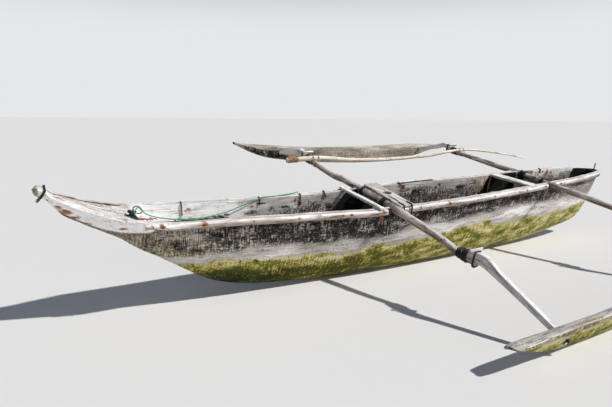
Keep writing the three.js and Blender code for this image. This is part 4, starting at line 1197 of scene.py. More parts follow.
# %% Float tables
FLOATS = {
    # x, inboard top, outboard top, inboard bottom, outboard bottom, thickness
    -1: [
        (-448, 6, 40, -16, 34, 64), (-400, 3, 37, -20, 20, 74), (-320, 3, 38, -44, -14, 78),
        (-200, 2, 48, -84, -66, 78), (-100, -2, 52, -106, -101, 78), (0, -5, 52, -125, -125, 78),
        (100, -9, 53, -137, -137, 78), (300, -14, 55, -151, -151, 78),
        (500, -13, 50, -158, -158, 78), (800, -12, 42, -162, -162, 78),
        (1100, -16, 34, -166, -166, 78), (1500, -20, 30, -168, -168, 78),
        (1800, -20, 28, -154, -154, 78), (2000, -20, 23, -122, -122, 76),
        (2200, -26, 8, -76, -76, 70), (2330, -35, -12, -60, -60, 52),
        (2400, -42, -30, -58, -58, 34),
    ],
    1: [
        (-520, 130, 138, 114, 114, 34), (-480, 124, 134, 98, 98, 52), (-420, 108, 124, 67, 67, 70),
        (-350, 94, 115, 31, 31, 78), (-250, 76, 106, -12, -12, 78), (-150, 62, 98, -43, -43, 78),
        (0, 44, 86, -72, -72, 78), (200, 28, 66, -99, -99, 78), (400, 16, 53, -122, -122, 78),
        (600, 4, 44, -141, -141, 78), (1000, -15, 31, -168, -168, 78),
        (1200, -22, 27, -175, -175, 78), (1400, -24, 28, -172, -172, 78),
        (1600, -19, 30, -162, -162, 78), (1800, -18, 29, -148, -148, 78),
        (2000, -20, 22, -118, -118, 76), (2200, -26, 8, -74, -74, 70),
        (2330, -36, -14, -60, -60, 52), (2400, -46, -34, -62, -62, 34),
    ],
}


# %% Floats


def float_plank(side):
    rows = FLOATS[side]
    xs = stations(rows[0][0], rows[-1][0], 9.0)
    in_top, out_top, in_low, out_low, thick = (batten(rows)(xs)[:, k][:, None] for k in range(5))
    shape = squarish(64, 5.5)
    share = (shape[:, 0] + 1) / 2
    top, low = in_top + (out_top - in_top) * share, in_low + (out_low - in_low) * share
    ease = eased(xs, 0.3, 5, 2)[:, None]
    height = 0.5 + shape[:, 1] / 2 * ease
    y, z = on_float(side, thick / 2 * shape[:, 0] * ease, low + (top - low) * height)
    grid = points_of(xs[:, None], y, z)
    worn = 1.3 * lumps(grid, 170, 40, 40) + 0.7 * lumps(grid + 800, 50, 14, 14)
    cracks = 2.5 * ramp(lumps(grid + 99, 300, 30, 16), 0.6, 0.8)
    grid, normal = roughened(grid, worn - cracks - 0.9)
    x = grid[..., 0]
    face = ramp(shape[:, 0], 0.7, 0.95)  # the outboard face
    upper = ramp(shape[:, 1], 0.75, 0.95)  # the top edge
    wander = 0.25 * lumps(grid, 110, 60, 40)
    if side < 0:
        sides_only = face * (1 - upper)
        film = upper * (0.05 + 0.3 * lumps(grid + 50, 160, 60, 60))
        moss = sides_only * (1.1 + 1.6 * wander) * fade(height, 0.6, 0.86) + film
        rust = face * (0.3 + wander) * ramp(height, 0.7, 0.95) * (1 - 0.6 * upper)
        soot_and_shade = 0.9 * fade(x, -446, -425) + 0.3 * sides_only * ramp(height, 0.55, 0.95)
        tan = 0.85 * face * (1 - 0.7 * upper) * ramp(height + wander, 0.55, 0.8)
        # Faces turned up are painted lighter, partly as painted light.
        sun = 0.3 + 0.7 * normal[..., 2]
    else:
        bands = ramp(lumps(grid, 70, 500, 60), -0.2, 1.0) * (1 - upper)
        wet_bow = stretch(x, -480, -330, -20, 160) * fade(height, 0.6, 0.85)
        moss = 0.2 * fade(height, 0, 0.3)
        rust = 0.42 * fade(height, 0.05, 0.22)
        soot_and_shade = 0.9 * fade(x, -516, -500) + 0.08 + 0.33 * bands + wet_bow * (1.0 + 0.5 * bands)
        tan = 0.35 * (1 - upper) + 0.4 * wet_bow
        # Faces turned up are painted lighter, partly as painted light.
        sun = -0.15 + 0.7 * normal[..., 2]
    for name, boom in BOOMS.items():  # a dark joint round each strut
        joint_z = on_float(side, 0, STRUT_PASSES[side, name])[1]
        gap = np.hypot((x - boom["x"]) / 34, (z - joint_z) / 40)
        soot_and_shade = np.maximum(soot_and_shade, 0.9 * fade(gap, 0.8, 1.15))
    return grid, {
        "grain": grid * MM, "sun": np.clip(sun, 0, 1), "moss": np.clip(moss, 0, 1.6),
        "rust": rust, "soot_and_shade": soot_and_shade, "tan": tan,
    }


for side, side_name in SIDES:
    node = f"float_{side_name}"
    make(f"float_plank_{side_name}", *float_plank(side), float_finish, "float_wood", [node])

# %% [markdown]
# ## Thwarts, mast step and chocks
# Three boards cross the hull: a narrow one forward, a broad one with the mast hole,
# and one let into the rim aft. Their edges are worn round. The mast board is a grid
# wound round its hole, over the top, round the edge and back below, so that the
# hole's lip is part of the same surface.

# %% Boards
BOARD = 22
SEAT = 586 + FIT
FORE_BOARD = {"ys": (-262, 238), "xs": (-128, -172), "width": 40}  # its two ends' y and x
AFT_BOARD = {"xs": (1752, 1632), "width": 112}
AFT_POCKET, AFT_SUNK, AFT_PROUD = 13, 24, 2  # into the walls, below the rim and above it
board_finish = weathered("worn_mango_board", "D3CFCA", "9A938C", "574C42", "F1EFEC", fibre=6)


def board(ys, xs, width, low, high, seed):
    """A straight board across the hull, its ends square to Y even where it runs askew."""
    y = stations(*ys, 8.0, (2,), (2,))
    ease = eased(y, 0.06, 2)[:, None]
    shape = squarish(48, 9)
    x = np.interp(y, ys, xs)[:, None] + width / 2 * ease * shape[:, 0]
    z = (low + high) / 2 + (high - low) / 2 * ease * shape[:, 1]
    grid = points_of(x, y[:, None], z)
    worn = 0.7 * lumps(grid + seed, 22, 110, 22) + 0.5 * lumps(grid + seed, 7, 30, 30) - 0.5
    cracks = 1.8 * ramp(lumps(grid + seed + 40, 9, 300, 60), 0.6, 0.8)
    grid, normal = roughened(grid, worn - cracks)
    grain = points_of(grid[..., 1], grid[..., 0], grid[..., 2] + seed) * MM
    # The sun mark paints the top lighter, the sides a little less and the underside darker, partly as
    # painted light and shade.
    return grid, {"grain": grain, "sun": np.clip(0.75 + 0.5 * normal[..., 2], 0, 1.25)}


fore_board = board(**FORE_BOARD, low=SEAT, high=SEAT + BOARD, seed=100)
make("board_fore", *fore_board, board_finish, "pale_wood", ["thwart_fore"])
_, aft_rim, aft_half, _, aft_wall, _ = hull_at(np.mean(AFT_BOARD["xs"]))[0]
aft_reach = aft_half - aft_wall + AFT_POCKET
aft_height = {"low": aft_rim - AFT_SUNK, "high": aft_rim + AFT_PROUD}
aft_board = board((-aft_reach, aft_reach), **AFT_BOARD, **aft_height, seed=260)
make("board_aft", *aft_board, board_finish, "bleached_wood", ["thwart_aft"])

# %% Mast board, with the mast's hole. Its rings have no ends, so its skin is a tyre's.
MAST = (122, 6)
MAST_RADIUS = 36
MAST_BOARD = {"y": (-266, 236), "x": (106, 122), "width": 132}
SLIT, SLIT_SIZE = (84, -118), (9, 70)  # painted shade of a split in the board's top


def mast_board():
    """Rings from the hole's lip over the top, round the edge and back underneath."""
    turn = np.linspace(0, 2 * math.pi, 240, endpoint=False)
    c, s = np.cos(turn), np.sin(turn)
    (y0, y1), (x0, x1), width = MAST_BOARD.values()
    skew = (x1 - x0) / (y1 - y0)
    # The way from the hole's middle to the board's edge, in each direction.
    to_end = np.where(s > 0, y1 - MAST[1], MAST[1] - y0) / np.maximum(np.abs(s), 1e-6)
    middle = x0 + skew * (MAST[1] - y0)
    offset = np.where(c > skew * s, middle - MAST[0], MAST[0] - middle)
    to_side = (offset + width / 2) / np.maximum(np.abs(c - skew * s), 1e-6)
    edge = np.minimum(to_end, to_side)
    low, high, lip, soft = SEAT, SEAT + BOARD, 3, 4
    share = np.linspace(0, 1, 26)[1:-1]
    rows = [(MAST_RADIUS, 0, low + lip), (MAST_RADIUS, 0, high - lip), (MAST_RADIUS + lip, 0, high)]
    rows += [(MAST_RADIUS + lip, t, high) for t in share]
    rows += [(0, 1, high - 0.4), (2, 1, high - soft), (2, 1, low + soft), (0, 1, low + 0.4)]
    rows += [(MAST_RADIUS + lip, t, low) for t in share[::-1]] + [(MAST_RADIUS + lip, 0, low)]
    grid = []
    for radius, t, z in rows:
        reach = radius + (edge - soft - radius) * t if t < 1 else edge - 2 + radius
        if t == 0:
            reach = np.full_like(edge, radius)
        reach = np.minimum(reach, edge)
        grid.append(points_of(MAST[0] + reach * c, MAST[1] + reach * s, z))
    grid = np.array(grid)
    worn = 0.6 * lumps(grid + 77, 20, 120, 20) - 1.5 * ramp(lumps(grid + 31, 9, 320, 60), 0.6, 0.8)
    grid[..., 2] += np.where(grid[..., 2] > (low + high) / 2, worn, -worn)
    return grid


mast_grid = mast_board()
x, y, z = np.moveaxis(mast_grid, -1, 0)
# Painted shade: a dark line along the split in the top. The top is painted lighter and the underside
# darker, partly as painted light and shade.
slit_shade = np.exp(-(((y - SLIT[1]) / SLIT_SIZE[1]) ** 4) - ((x - SLIT[0]) / SLIT_SIZE[0]) ** 2)
on_top = z > SEAT + 15
mast_marks = {
    "grain": points_of(y, x, z + 400) * MM, "sun": np.where(on_top, 0.72, 0.2),
    "soot_and_shade": np.where(on_top, 0.2 + 1.2 * slit_shade, 0.3),
}
make("board_mast", mast_grid, mast_marks, board_finish, "bleached_wood", ["thwart_mast"], tyre=True)

# %% Mast step, from the frame's own block with its edges worn
step_mesh = bpy.data.meshes.new_from_object(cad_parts["mast_step"])
work = bmesh.new()
work.from_mesh(step_mesh)
bmesh.ops.remove_doubles(work, verts=work.verts, dist=1e-5)
bmesh.ops.dissolve_limit(work, angle_limit=math.radians(1), verts=work.verts, edges=work.edges)
work.to_mesh(step_mesh)
work.free()
canoe_points = (np.array([v.co for v in step_mesh.vertices]) - SET_DOWN) @ np.array(lean.to_3x3())
step_marks = {"grain": canoe_points[:, [1, 0, 2]], "sun": np.full(len(canoe_points), 0.3)}
store(step_mesh, step_marks)
step_mesh.materials.clear()
step_mesh.materials.append(hull_finish)
mast_step = carry(place("mast_step_block", step_mesh), ["mast_step"])
worn_edge = mast_step.modifiers.new("worn edge", "BEVEL")
worn_edge.width, worn_edge.segments, worn_edge.limit_method = 0.0025, 3, "ANGLE"

# %% Chocks, wedged between strut and binding
CHOCK = {"past": -49, "width": 20, "height": 20, "fore": -36, "aft": 82}


def chock(name, side):
    y = boom_end(BOOMS[name], side) + side * CHOCK["past"]
    rows = np.array(strut_rows(name, side))
    top, ahead = np.interp([side * y, side * (y + 1)], rows[:, 0], rows[:, 2])
    tilt = math.atan(ahead - top)
    fore, aft = CHOCK["fore"], CHOCK["aft"]
    xs = np.array([fore, fore + 2, *np.linspace(fore + 8, aft - 8, 16), aft - 2, aft])[:, None]
    ease = np.ones_like(xs)
    ease[[0, -1]] = 0.82
    shape = squarish(28, 4.5)
    across = CHOCK["width"] / 2 * ease * shape[:, 0]
    rise = FIT + CHOCK["height"] / 2 * (1 + ease * shape[:, 1])
    c, s = math.cos(tilt), math.sin(tilt)
    grid = points_of(BOOMS[name]["x"] + xs, y + across * c - rise * s, top + across * s + rise * c)
    grid, normal = roughened(grid, 0.6 * lumps(grid, 60, 9, 9) - 0.4)
    cut_end = np.broadcast_to(0.45 * ramp(xs, aft - 16, aft), across.shape)
    # Faces turned up are painted lighter, partly as painted light.
    sun = np.clip(0.3 + 0.7 * normal[..., 2], 0, 1)
    return grid, {"grain": grid * MM, "sun": sun, "rust": cut_end}


for side, side_name in SIDES:
    for name in BOOMS:
        label = f"{side_name}_{name}"
        make(f"chock_block_{label}", *chock(name, side), strut_finish, "pale_wood", [f"chock_{label}"])

# %% [markdown]
# ## The long pole
# A thin pole with the bark off is tied along the far ends of the booms. It sags
# between them and runs on past the aft boom to a point, like a whip.

# %% Long pole
POLE = [  # x, y, z, radius
    (-292, 984, 609, 24), (-120, 966, 618, 23), (0, 955, 622, 22), (140, 957, 611, 21),
    (420, 962, 578, 20), (900, 966, 552, 18), (1450, 968, 558, 16), (1860, 970, 593, 15),
    (1990, 970, 596.6, 14), (2120, 970, 593, 13), (2450, 968, 556, 11), (2820, 964, 498, 9),
    (3180, 960, 432, 6),
]
POLE_KNOTS = [(240, 1.4, 2.5), (655, 0.8, 3), (1180, 1.7, 2.5), (1760, 1.2, 2), (2380, 0.9, 2)]
pole_at = batten(POLE)
pole_finish = weathered(
    "peeled_pale_pole", "EFEAE0", "CFC5B4", "8C7B66", "EFEAE0",
    fibre=3, mould=0.25, checks=0.25, sides=0.9, hairs=0.3,
)
pole_xs = np.arange(-292, 3180.1, 9)
pole_line = ends_close(np.column_stack([pole_xs, pole_at(pole_xs)[:, :2]]))
pole = round_pole(pole_line, pole_at(pole_line[:, 0])[:, 2], POLE_KNOTS, 24, 0.7, 1300)
make("long_pole", *pole, pole_finish, "pale_wood", ["pole"])

# %% [markdown]
# ## Lashings
# Strips cut from old inner tubes, about 14 mm wide and 3 mm thick, are wound under
# tension round each pair of poles, in two layers that cross, and their ends are
# tucked or left loose. What follows a path is what Geometry Nodes do best: one tree
# lays a flat section along any path, keeps its flat side to the wood by a stored
# direction, and makes it uneven with seeded noise. Each binding is only its path.

# %% The strip tree


def node_tree(name, sizes):
    """A Geometry Nodes tree with its input and output, and its named sizes."""
    tree = bpy.data.node_groups.new(name, "GeometryNodeTree")
    tree.interface.new_socket("Geometry", in_out="INPUT", socket_type="NodeSocketGeometry")
    for key, kind in sizes.items():
        tree.interface.new_socket(key, in_out="INPUT", socket_type=f"NodeSocket{kind}")
    tree.interface.new_socket("Geometry", in_out="OUTPUT", socket_type="NodeSocketGeometry")
    return tree, add(tree, "NodeGroupInput").outputs, add(tree, "NodeGroupOutput")


def grow(piece, tree, **sizes):
    """Runs a tree on a piece and keeps the result as a plain mesh."""
    modifier = piece.modifiers.new(tree.name, "NODES")
    modifier.node_group = tree
    for item in tree.interface.items_tree:
        if item.in_out == "INPUT" and item.name in sizes:
            modifier[item.identifier] = sizes[item.name]
    graph = bpy.context.evaluated_depsgraph_get()
    mesh = bpy.data.meshes.new_from_object(piece.evaluated_get(graph))
    piece.modifiers.remove(modifier)
    piece.data = mesh


strip_tree, given, result = node_tree("wound_strip", {
    "Width": "Float", "Thickness": "Float", "Edge": "Float", "Unevenness": "Float",
    "Seed": "Int", "Material": "Material",
})
path = add(strip_tree, "GeometryNodeMeshToCurve", {"Mesh": given["Geometry"]})
facing = add(
    strip_tree, "GeometryNodeInputNamedAttribute", {"Name": "outward"}, data_type="FLOAT_VECTOR"
)
faced = add(
    strip_tree, "GeometryNodeSetCurveNormal", {"Curve": path, "Normal": facing}, mode="FREE"
)
size = {"Width": given["Width"], "Height": given["Thickness"]}
oblong = add(strip_tree, "GeometryNodeCurvePrimitiveQuadrilateral", size)
corners = {"Count": 2, "Curve": oblong, "Radius": given["Edge"]}
section = add(strip_tree, "GeometryNodeFilletCurve", corners, mode="POLY")
swept = {"Curve": faced, "Profile Curve": section, "Fill Caps": True}
strip = add(strip_tree, "GeometryNodeCurveToMesh", swept)
noise = {"W": given["Seed"], "Scale": 55.0, "Detail": 2.0}
wave = add(strip_tree, "ShaderNodeTexNoise", noise, noise_dimensions="4D").outputs["Color"]
centred = add(strip_tree, "ShaderNodeVectorMath", {0: wave, 1: (0.5, 0.5, 0.5)}, operation="SUBTRACT")
pushed = {0: centred, "Scale": given["Unevenness"]}
push = add(strip_tree, "ShaderNodeVectorMath", pushed, operation="SCALE")
uneven = add(strip_tree, "GeometryNodeSetPosition", {"Geometry": strip, "Offset": push})
smooth = add(strip_tree, "GeometryNodeSetShadeSmooth", {"Geometry": uneven})
single = add(strip_tree, "GeometryNodeRealizeInstances", {"Geometry": smooth})
coat = {"Geometry": single, "Material": given["Material"]}
wire(result, {0: add(strip_tree, "GeometryNodeSetMaterial", coat)})
print("strip tree:", len(strip_tree.nodes), "nodes")

# %% [markdown]
# Old inner tube is nearly black, dull and a little dusty on top. The pole's butt is
# bound in nylon net twine whose orange has faded to tan, and the pole's ties are
# pale sisal.

# %% Binding finishes


def bound(name, dark, light, grit, roughness, sheen=0.0):
    """A soft binding: two tones in patches grit mm across, dull and a little rough."""
    finish, surface = new_finish(name, Roughness=roughness, Sheen_Weight=sheen)
    tree = finish.node_tree
    where = add(tree, "ShaderNodeTexCoord").outputs["Object"]
    patches = {"Vector": where, "Scale": 1000 / grit, "Detail": 6, "Roughness": 0.7}
    patches = add(tree, "ShaderNodeTexNoise", patches)
    tones = add(tree, "ShaderNodeValToRGB", {"Fac": patches}, [(0.42, dark), (0.74, light)])
    fine = {"Vector": where, "Scale": 9000 / grit, "Detail": 3}
    fine = add(tree, "ShaderNodeTexNoise", fine)
    relief = add(tree, "ShaderNodeBump", {"Strength": 0.6, "Distance": 0.0008, "Height": fine})
    wire(surface, {"Base Color": tones, "Normal": relief})
    return finish


black_rubber = bound("old_inner_tube", "0C0C0E", "323234", 30, 0.6)
faded_twine = bound("faded_orange_twine", "A5713F", "E3CBA4", 26, 0.8, 0.2)
pale_sisal = bound("pale_sisal_cord", "9A8C6C", "D8CDB2", 10, 0.85, 0.2)
rusty_iron = bound("rusted_iron", "2A1A12", "7A4424", 8, 0.8)
red_twine = bound("frayed_red_twine", "8A2238", "C85A72", 10, 0.8, 0.2)

# %% [markdown]
# ## Winding
# A strip pulled tight touches only the section's outermost points, like a rubber
# band. That outline is the section's reach in every direction, and its slope gives
# where the band leaves the wood.

# %% Winding paths
STRIP = {"Width": 0.015, "Thickness": 0.0032, "Edge": 0.0011, "Unevenness": 0.0022}
ROUND_TURN = np.linspace(0, 2 * math.pi, 16, endpoint=False)
CIRCLE = points_of(np.cos(ROUND_TURN), np.sin(ROUND_TURN))
PER_TURN = 40  # points of a winding's path


def touch(section, angle, margin):
    """Where a tight band round a section lies at an angle, and the way it faces."""
    around = (angle - 0.05, angle, angle + 0.05)
    before, reach, after = (np.max(section @ (math.cos(a), math.sin(a))) for a in around)
    out = np.array([math.cos(angle), math.sin(angle)])
    along = np.array([-out[1], out[0]])
    return (reach + margin) * out + (after - before) / 0.1 * along, out


def wound(section_at, start, end, turns, margin, first=0.0, wobble=0.0, seed=0):
    """Points and facings of a strip wound from start to end round section_at(run)."""
    sway = np.random.default_rng(seed).normal(0, wobble, turns + 2)
    points, facings = [], []
    for turn in np.arange(turns * PER_TURN + 1) / PER_TURN:
        run = start + (end - start) * turn / turns + np.interp(turn, np.arange(turns + 2), sway)
        run = min(max(run, min(start, end)), max(start, end))
        at, out = touch(section_at(run), first + 2 * math.pi * turn, margin)
        points.append((at[0], run, at[1]))
        facings.append((out[0], 0, out[1]))
    return np.array(points), np.array(facings)


def along_x(path):
    """A winding made round Y, laid round X instead."""
    return tuple(part[:, [1, 0, 2]] for part in path)


def moved(path, x):
    line, facing = path
    return line + (x, 0, 0), facing


def loose_end(point, facing, way, length, drop):
    """A short free end that leaves the binding at point and curls down."""
    share = np.linspace(0, 1, 10)[:, None]
    curl = (0, 0, -1.0) * share**2 * drop + np.asarray(facing) * 5 * np.sin(share * 3)
    return point + np.asarray(way, float) * length * share + curl, np.repeat([facing], 10, 0)


def bind(name, paths, finish, slot, nodes=(), seed=0, **sizes):
    """One binding, grown from its paths in upright mm by the strip tree."""
    points, edges, facings = [], [], []
    for line, facing in paths:
        start = len(points)
        points += parked(line).tolist()
        facings += (np.asarray(facing) @ np.array(lean.to_3x3()).T).tolist()
        edges += [(start + k, start + k + 1) for k in range(len(line) - 1)]
    mesh = bpy.data.meshes.new(name)
    mesh.from_pydata(points, edges, [])
    store(mesh, {"outward": facings})
    piece = place(name, mesh)
    grow(piece, strip_tree, Seed=seed, Material=finish, **{**STRIP, **sizes})
    return carry(piece, nodes)


# %% Hull lashings, round each boom and its crossbar
for name, boom in BOOMS.items():
    seat_z, seat_radius = boom["seat"]
    lower = seat_z - seat_radius - FIT - CROSSBAR_RADIUS
    upper_ring = CIRCLE * (seat_radius + 1) + (0, seat_z)
    pair = np.vstack([upper_ring, CIRCLE * (CROSSBAR_RADIUS + 1) + (0, lower)])
    for number, (y, length) in enumerate(boom["bound"]):
        side_name = "port" if y < 0 else "starboard"
        a, b = y - length / 2 + 7, y + length / 2 - 7
        turns, seed = max(4, round(length / 10)), 10 * number + len(name)
        inner = wound(lambda run: pair, a, b, turns, 1.6, wobble=1.5, seed=seed)
        cover = wound(lambda run: pair, b, a, 4, 5.4, first=1.0, wobble=8, seed=seed + 1)
        paths = [moved(inner, boom["x"]), moved(cover, boom["x"])]
        way = (0.5, 0.4 if y > 0 else -0.4, 0.1)
        paths.append(loose_end(paths[1][0][-1], paths[1][1][-1], way, 34, 16))
        label = f"{name}_{side_name}"
        node = f"hull_lashing_{label}"
        bind(f"lashing_{label}", paths, black_rubber, "black_lashing", [node], seed)

# %% Lap lashings, round each boom end and its strut
LAP_BANDS = {
    # from and to past the boom's end, turns, and the cover's turns, margin, start and wobble
    "inner": (-174, -68, 9, (4, 4.8, 0.8, 7)),
    "outer": (-32, -10, 2, (2, 4.6, 2.0, 2)),
}


def lap_section(name, side):
    """The outline of a boom's end with its strut on top, at any distance along Y."""
    axis = np.array(BOOMS[name]["axis"], float)
    rows = np.array(strut_rows(name, side))

    def at(run):
        z, radius = (np.interp(run, axis[:, 0], axis[:, k]) for k in (1, 2))
        low, high, width = (np.interp(side * run, rows[:, 0], rows[:, k]) for k in (1, 2, 3))
        corners = product((-width / 2 + 3, width / 2 - 3), (low + 3, high - 2))
        return np.vstack([CIRCLE * (radius + 0.6) + (0, z), *corners])

    return at


for side, side_name in SIDES:
    for name, boom in BOOMS.items():
        both, end = lap_section(name, side), boom_end(boom, side)
        for band, (first, last, turns, (more, margin, turned, wobble)) in LAP_BANDS.items():
            a, b = end + side * (first + 7), end + side * (last - 7)
            seed = 40 + len(name) + 7 * side + turns
            inner = wound(both, a, b, turns, 1.8, wobble=2.0, seed=seed)
            cover = wound(both, b, a, more, margin, turned, wobble, seed + 1)
            paths = [moved(inner, boom["x"]), moved(cover, boom["x"])]
            way = (0.2, 0.3 * side, 0.2)
            paths.append(loose_end(paths[1][0][-1], paths[1][1][-1], way, 26, 22))
            label = f"{side_name}_{name}_{band}"
            node = f"lap_lashing_{label}"
            bind(f"lap_{label}", paths, black_rubber, "black_lashing", [node], seed)

# %% Bow lashing
BOW_BAND = (-2352, -2328)
BOW_FRAYS = [((-2349, -38, 838), 14), ((-2346, -36, 828), 20), ((-2342, -32, 820), 12),
             ((-2338, -26, 812), 18)]  # root and length


def bow_section(x):
    keel, rim, half, fullness, _, _ = hull_at(x)[0]
    return girth(half + 0.6, rim + 0.6, keel - 0.6, fullness, 30)[0]


fore, aft = BOW_BAND
inner = along_x(wound(bow_section, fore + 5, aft - 5, 3, 1.4, wobble=1.5, seed=3))
cover = along_x(wound(bow_section, aft - 8, fore + 8, 2, 4.0, first=0.7, wobble=2, seed=4))
bow_paths = [inner, cover, loose_end(cover[0][-1], cover[1][-1], (0.2, -0.5, 0.1), 22, 14)]
for fray, reach in BOW_FRAYS:
    bow_paths.append(loose_end(np.array(fray, float), (0, -1, 0), (-0.7, -0.2, -0.5), reach, 7))
# The turns lie aslant: their top is farther aft, and they follow the slope of the knob's neck.
ASLANT, ASLANT_FROM = np.array([0.42, 0, -0.21]), 845
bow_paths = [(line + (line[:, 2:] - ASLANT_FROM) * ASLANT, facing) for line, facing in bow_paths]
bind(
    "bow_binding", bow_paths, black_rubber, "black_lashing", ["bow_lashing"], seed=5, Width=0.0085
)

# %% Pole wrap and pole ties
WRAP = (-284, -176)
WRAP_TWINE = {"Width": 0.0062, "Thickness": 0.0036, "Edge": 0.0016, "Unevenness": 0.0012}
TIE_RADIUS = 4


def pole_section(x):
    y, z, radius = pole_at(x)[0]
    return CIRCLE * (radius + 0.6) + (y, z)


wrap = along_x(wound(pole_section, WRAP[0] + 3, WRAP[1] - 3, 17, 1.7, wobble=0.6, seed=6))
bind("orange_wrap", [wrap], faded_twine, "orange_lashing", ["pole_wrap"], seed=6, **WRAP_TWINE)


def pole_tie(name):
    """One cord over the pole on both sides of the boom, and under the boom beside the pole."""
    boom_x, axis = BOOMS[name]["x"], np.array(BOOMS[name]["axis"], float)
    pole_y, _, pole_radius = pole_at(boom_x)[0]
    clearance = TIE_RADIUS + 1.4
    out = np.interp(pole_y, axis[:, 0], axis[:, 2]) + clearance
    over = pole_radius + clearance

    def under_boom(side, start, end):
        a = np.radians(np.linspace(start, end, 7))
        y = pole_y + side * over
        return points_of(boom_x + out * np.cos(a), y, np.interp(y, *axis.T[:2]) + out * np.sin(a))

    def over_pole(end_side, start, end):
        a = np.radians(np.linspace(start, end, 9))
        x = boom_x + end_side * out
        y, z, _ = pole_at(x)[0]
        return points_of(x, y + over * np.cos(a), z + over * np.sin(a))

    loop = [under_boom(1, -88, 0), over_pole(1, 0, 180), under_boom(-1, 0, -180)]
    loop += [over_pole(-1, 180, 0), under_boom(1, -180, -92)]
    return spaced(spline(np.vstack(loop), 3), 3)


for name in BOOMS:
    tie = laid(pole_tie(name), 2 * TIE_RADIUS, 24)
    make(f"tie_{name}", *tie, pale_sisal, "pale_lashing", [f"pole_tie_{name}"], sharp=80)

# %% [markdown]
# ## Straps, pin and nails
# Two thin straps hold the mast board's port end down over the rail. An iron pin
# stands in the stern. The rails' nails are small rusty domes. They repeat along a
# line, so a tree puts them there: a few facets each, in sizes of their own.

# %% Straps


def flat_strip(points, step):
    """A line that bends round the X axis, and the way a strip's flat side faces along it."""
    line = spaced(spline(points), step)
    facing = unit(np.cross(np.gradient(line, axis=0), (1, 0, 0)))
    return line, facing


STRAP_XS = {"fore": 66, "aft": 146}
STRAP_TOP = 586 + BOARD + 2 * FIT
STRAP_PATH = [  # y, and the height over the board
    (-206, 1.5), (-240, 1.6), (-262, 1.5), (-272, -1), (-278, -8), (-280.5, -20), (-281, -40),
    (-281, -62),
]
for name, strap_x in STRAP_XS.items():
    points = [(strap_x + 1.5 * math.sin(y / 9), y + 1.2, z + STRAP_TOP) for y, z in STRAP_PATH]
    line, facing = flat_strip(points, 4)
    facing *= np.sign(facing[0, 2])
    bind(
        f"rubber_strap_{name}", [(line, facing)], black_rubber, "black_lashing",
        [f"strap_{name}"], seed=8, Width=0.016, Thickness=0.003,
    )

# %% Pin
PIN = (3046, 0, 560)
PIN_PROFILE = [(0, 6.2), (40, 6.0), (96, 6.0), (99, 8.5), (104, 9.0), (108, 6.0)]  # rise, radius
turn = np.linspace(0, 2 * math.pi, 18, endpoint=False)
pin_grid = np.array([points_of(r * np.cos(turn), r * np.sin(turn), h) for h, r in PIN_PROFILE]) + PIN
pin_grid, _ = roughened(pin_grid, 0.6 * lumps(pin_grid, 9, 9, 12) - 0.3)
make("iron_pin", pin_grid, {}, rusty_iron, "iron", ["stern_pin"])

# %% Nails
nail_tree, given, result = node_tree("nail_row", {
    "Radius": "Float", "Seed": "Int", "Material": "Material",
})
dome = {"Subdivisions": 2, "Radius": given["Radius"]}
head = add(nail_tree, "GeometryNodeMeshIcoSphere", dome)
range_of = {2: 0.75, 3: 1.2, "Seed": given["Seed"]}
sizes = add(nail_tree, "FunctionNodeRandomValue", range_of, data_type="FLOAT")
row = {"Points": given["Geometry"], "Instance": head, "Scale": sizes}
heads = add(nail_tree, "GeometryNodeInstanceOnPoints", row)
single = add(nail_tree, "GeometryNodeRealizeInstances", {"Geometry": heads})
smooth = add(nail_tree, "GeometryNodeSetShadeSmooth", {"Geometry": single})
coat = {"Geometry": smooth, "Material": given["Material"]}
wire(result, {0: add(nail_tree, "GeometryNodeSetMaterial", coat)})

NAIL_OUT, NAIL_UP = 0.93, 0.37  # where on the rail's round, as shares of its radius
nail_points = []
reach = RAIL_SIZE / 2 - 0.5
for side, nail_xs in RAIL_NAILS.items():
    for nail_x in nail_xs:
        _, nail_rim, half_beam, _, _, _ = hull_at(nail_x)[0]
        out = half_beam + RAIL_OFFSET + NAIL_OUT * reach
        nail_points.append((nail_x, side * out, nail_rim - RAIL_DROP + NAIL_UP * reach))
nail_mesh = bpy.data.meshes.new("rail_nails")
nail_mesh.from_pydata(parked(nail_points).tolist(), [], [])
nails = place("rail_nails", nail_mesh)
grow(nails, nail_tree, Seed=5, Radius=0.0055, Material=rusty_iron)
carry(nails)

# %% [markdown]
# ## Small things along the rim
# Short strips of inner tube are nailed inside the far rim to hold gear, and a
# frayed end of red twine and the ends of a tarred one lie at the rope's root. Each
# is again only a path for the strip tree, with its own width.

# %% Rim straps
RIM_STRAPS = [  # x, how far it hangs below the rim, how far its foot leans along X, width
    (-1530, 84, 4, 0.017), (-950, 50, 0, 0.017), (-596, 92, -8, 0.011), (-372, 34, 30, 0.023),
    (430, 22, 60, 0.016), (2300, 40, 6, 0.014),
]


def inner_wall(x, deep):
    """A point on the starboard wall's inner face, deep mm below the rim."""
    _, rim, half, fullness, wall, hollow = hull_at(x)[0]
    across = (half - wall) * math.sqrt(max(0, 1 - (min(deep, hollow) / hollow) ** fullness))
    return x, across - 4.5, rim - deep


for number, (x, drop, lean_along, width) in enumerate(RIM_STRAPS):
    _, rim, half, _, wall, _ = hull_at(x)[0]
    over = [(x, half - 4, rim + 2.6), (x, half - wall + 9, rim + 2.6), (x, half - wall + 1, rim + 1.2)]
    down = [inner_wall(x + lean_along * (d / drop) ** 2, d) for d in np.linspace(8, drop, 8)]
    line, facing = flat_strip(over + down, 5)
    facing *= -np.sign(facing[-1, 1])
    bind(
        f"rim_strap_{number + 1}", [(line, facing)], black_rubber, "black_lashing",
        seed=20 + number, Width=width, Thickness=0.003, Unevenness=0.003,
    )

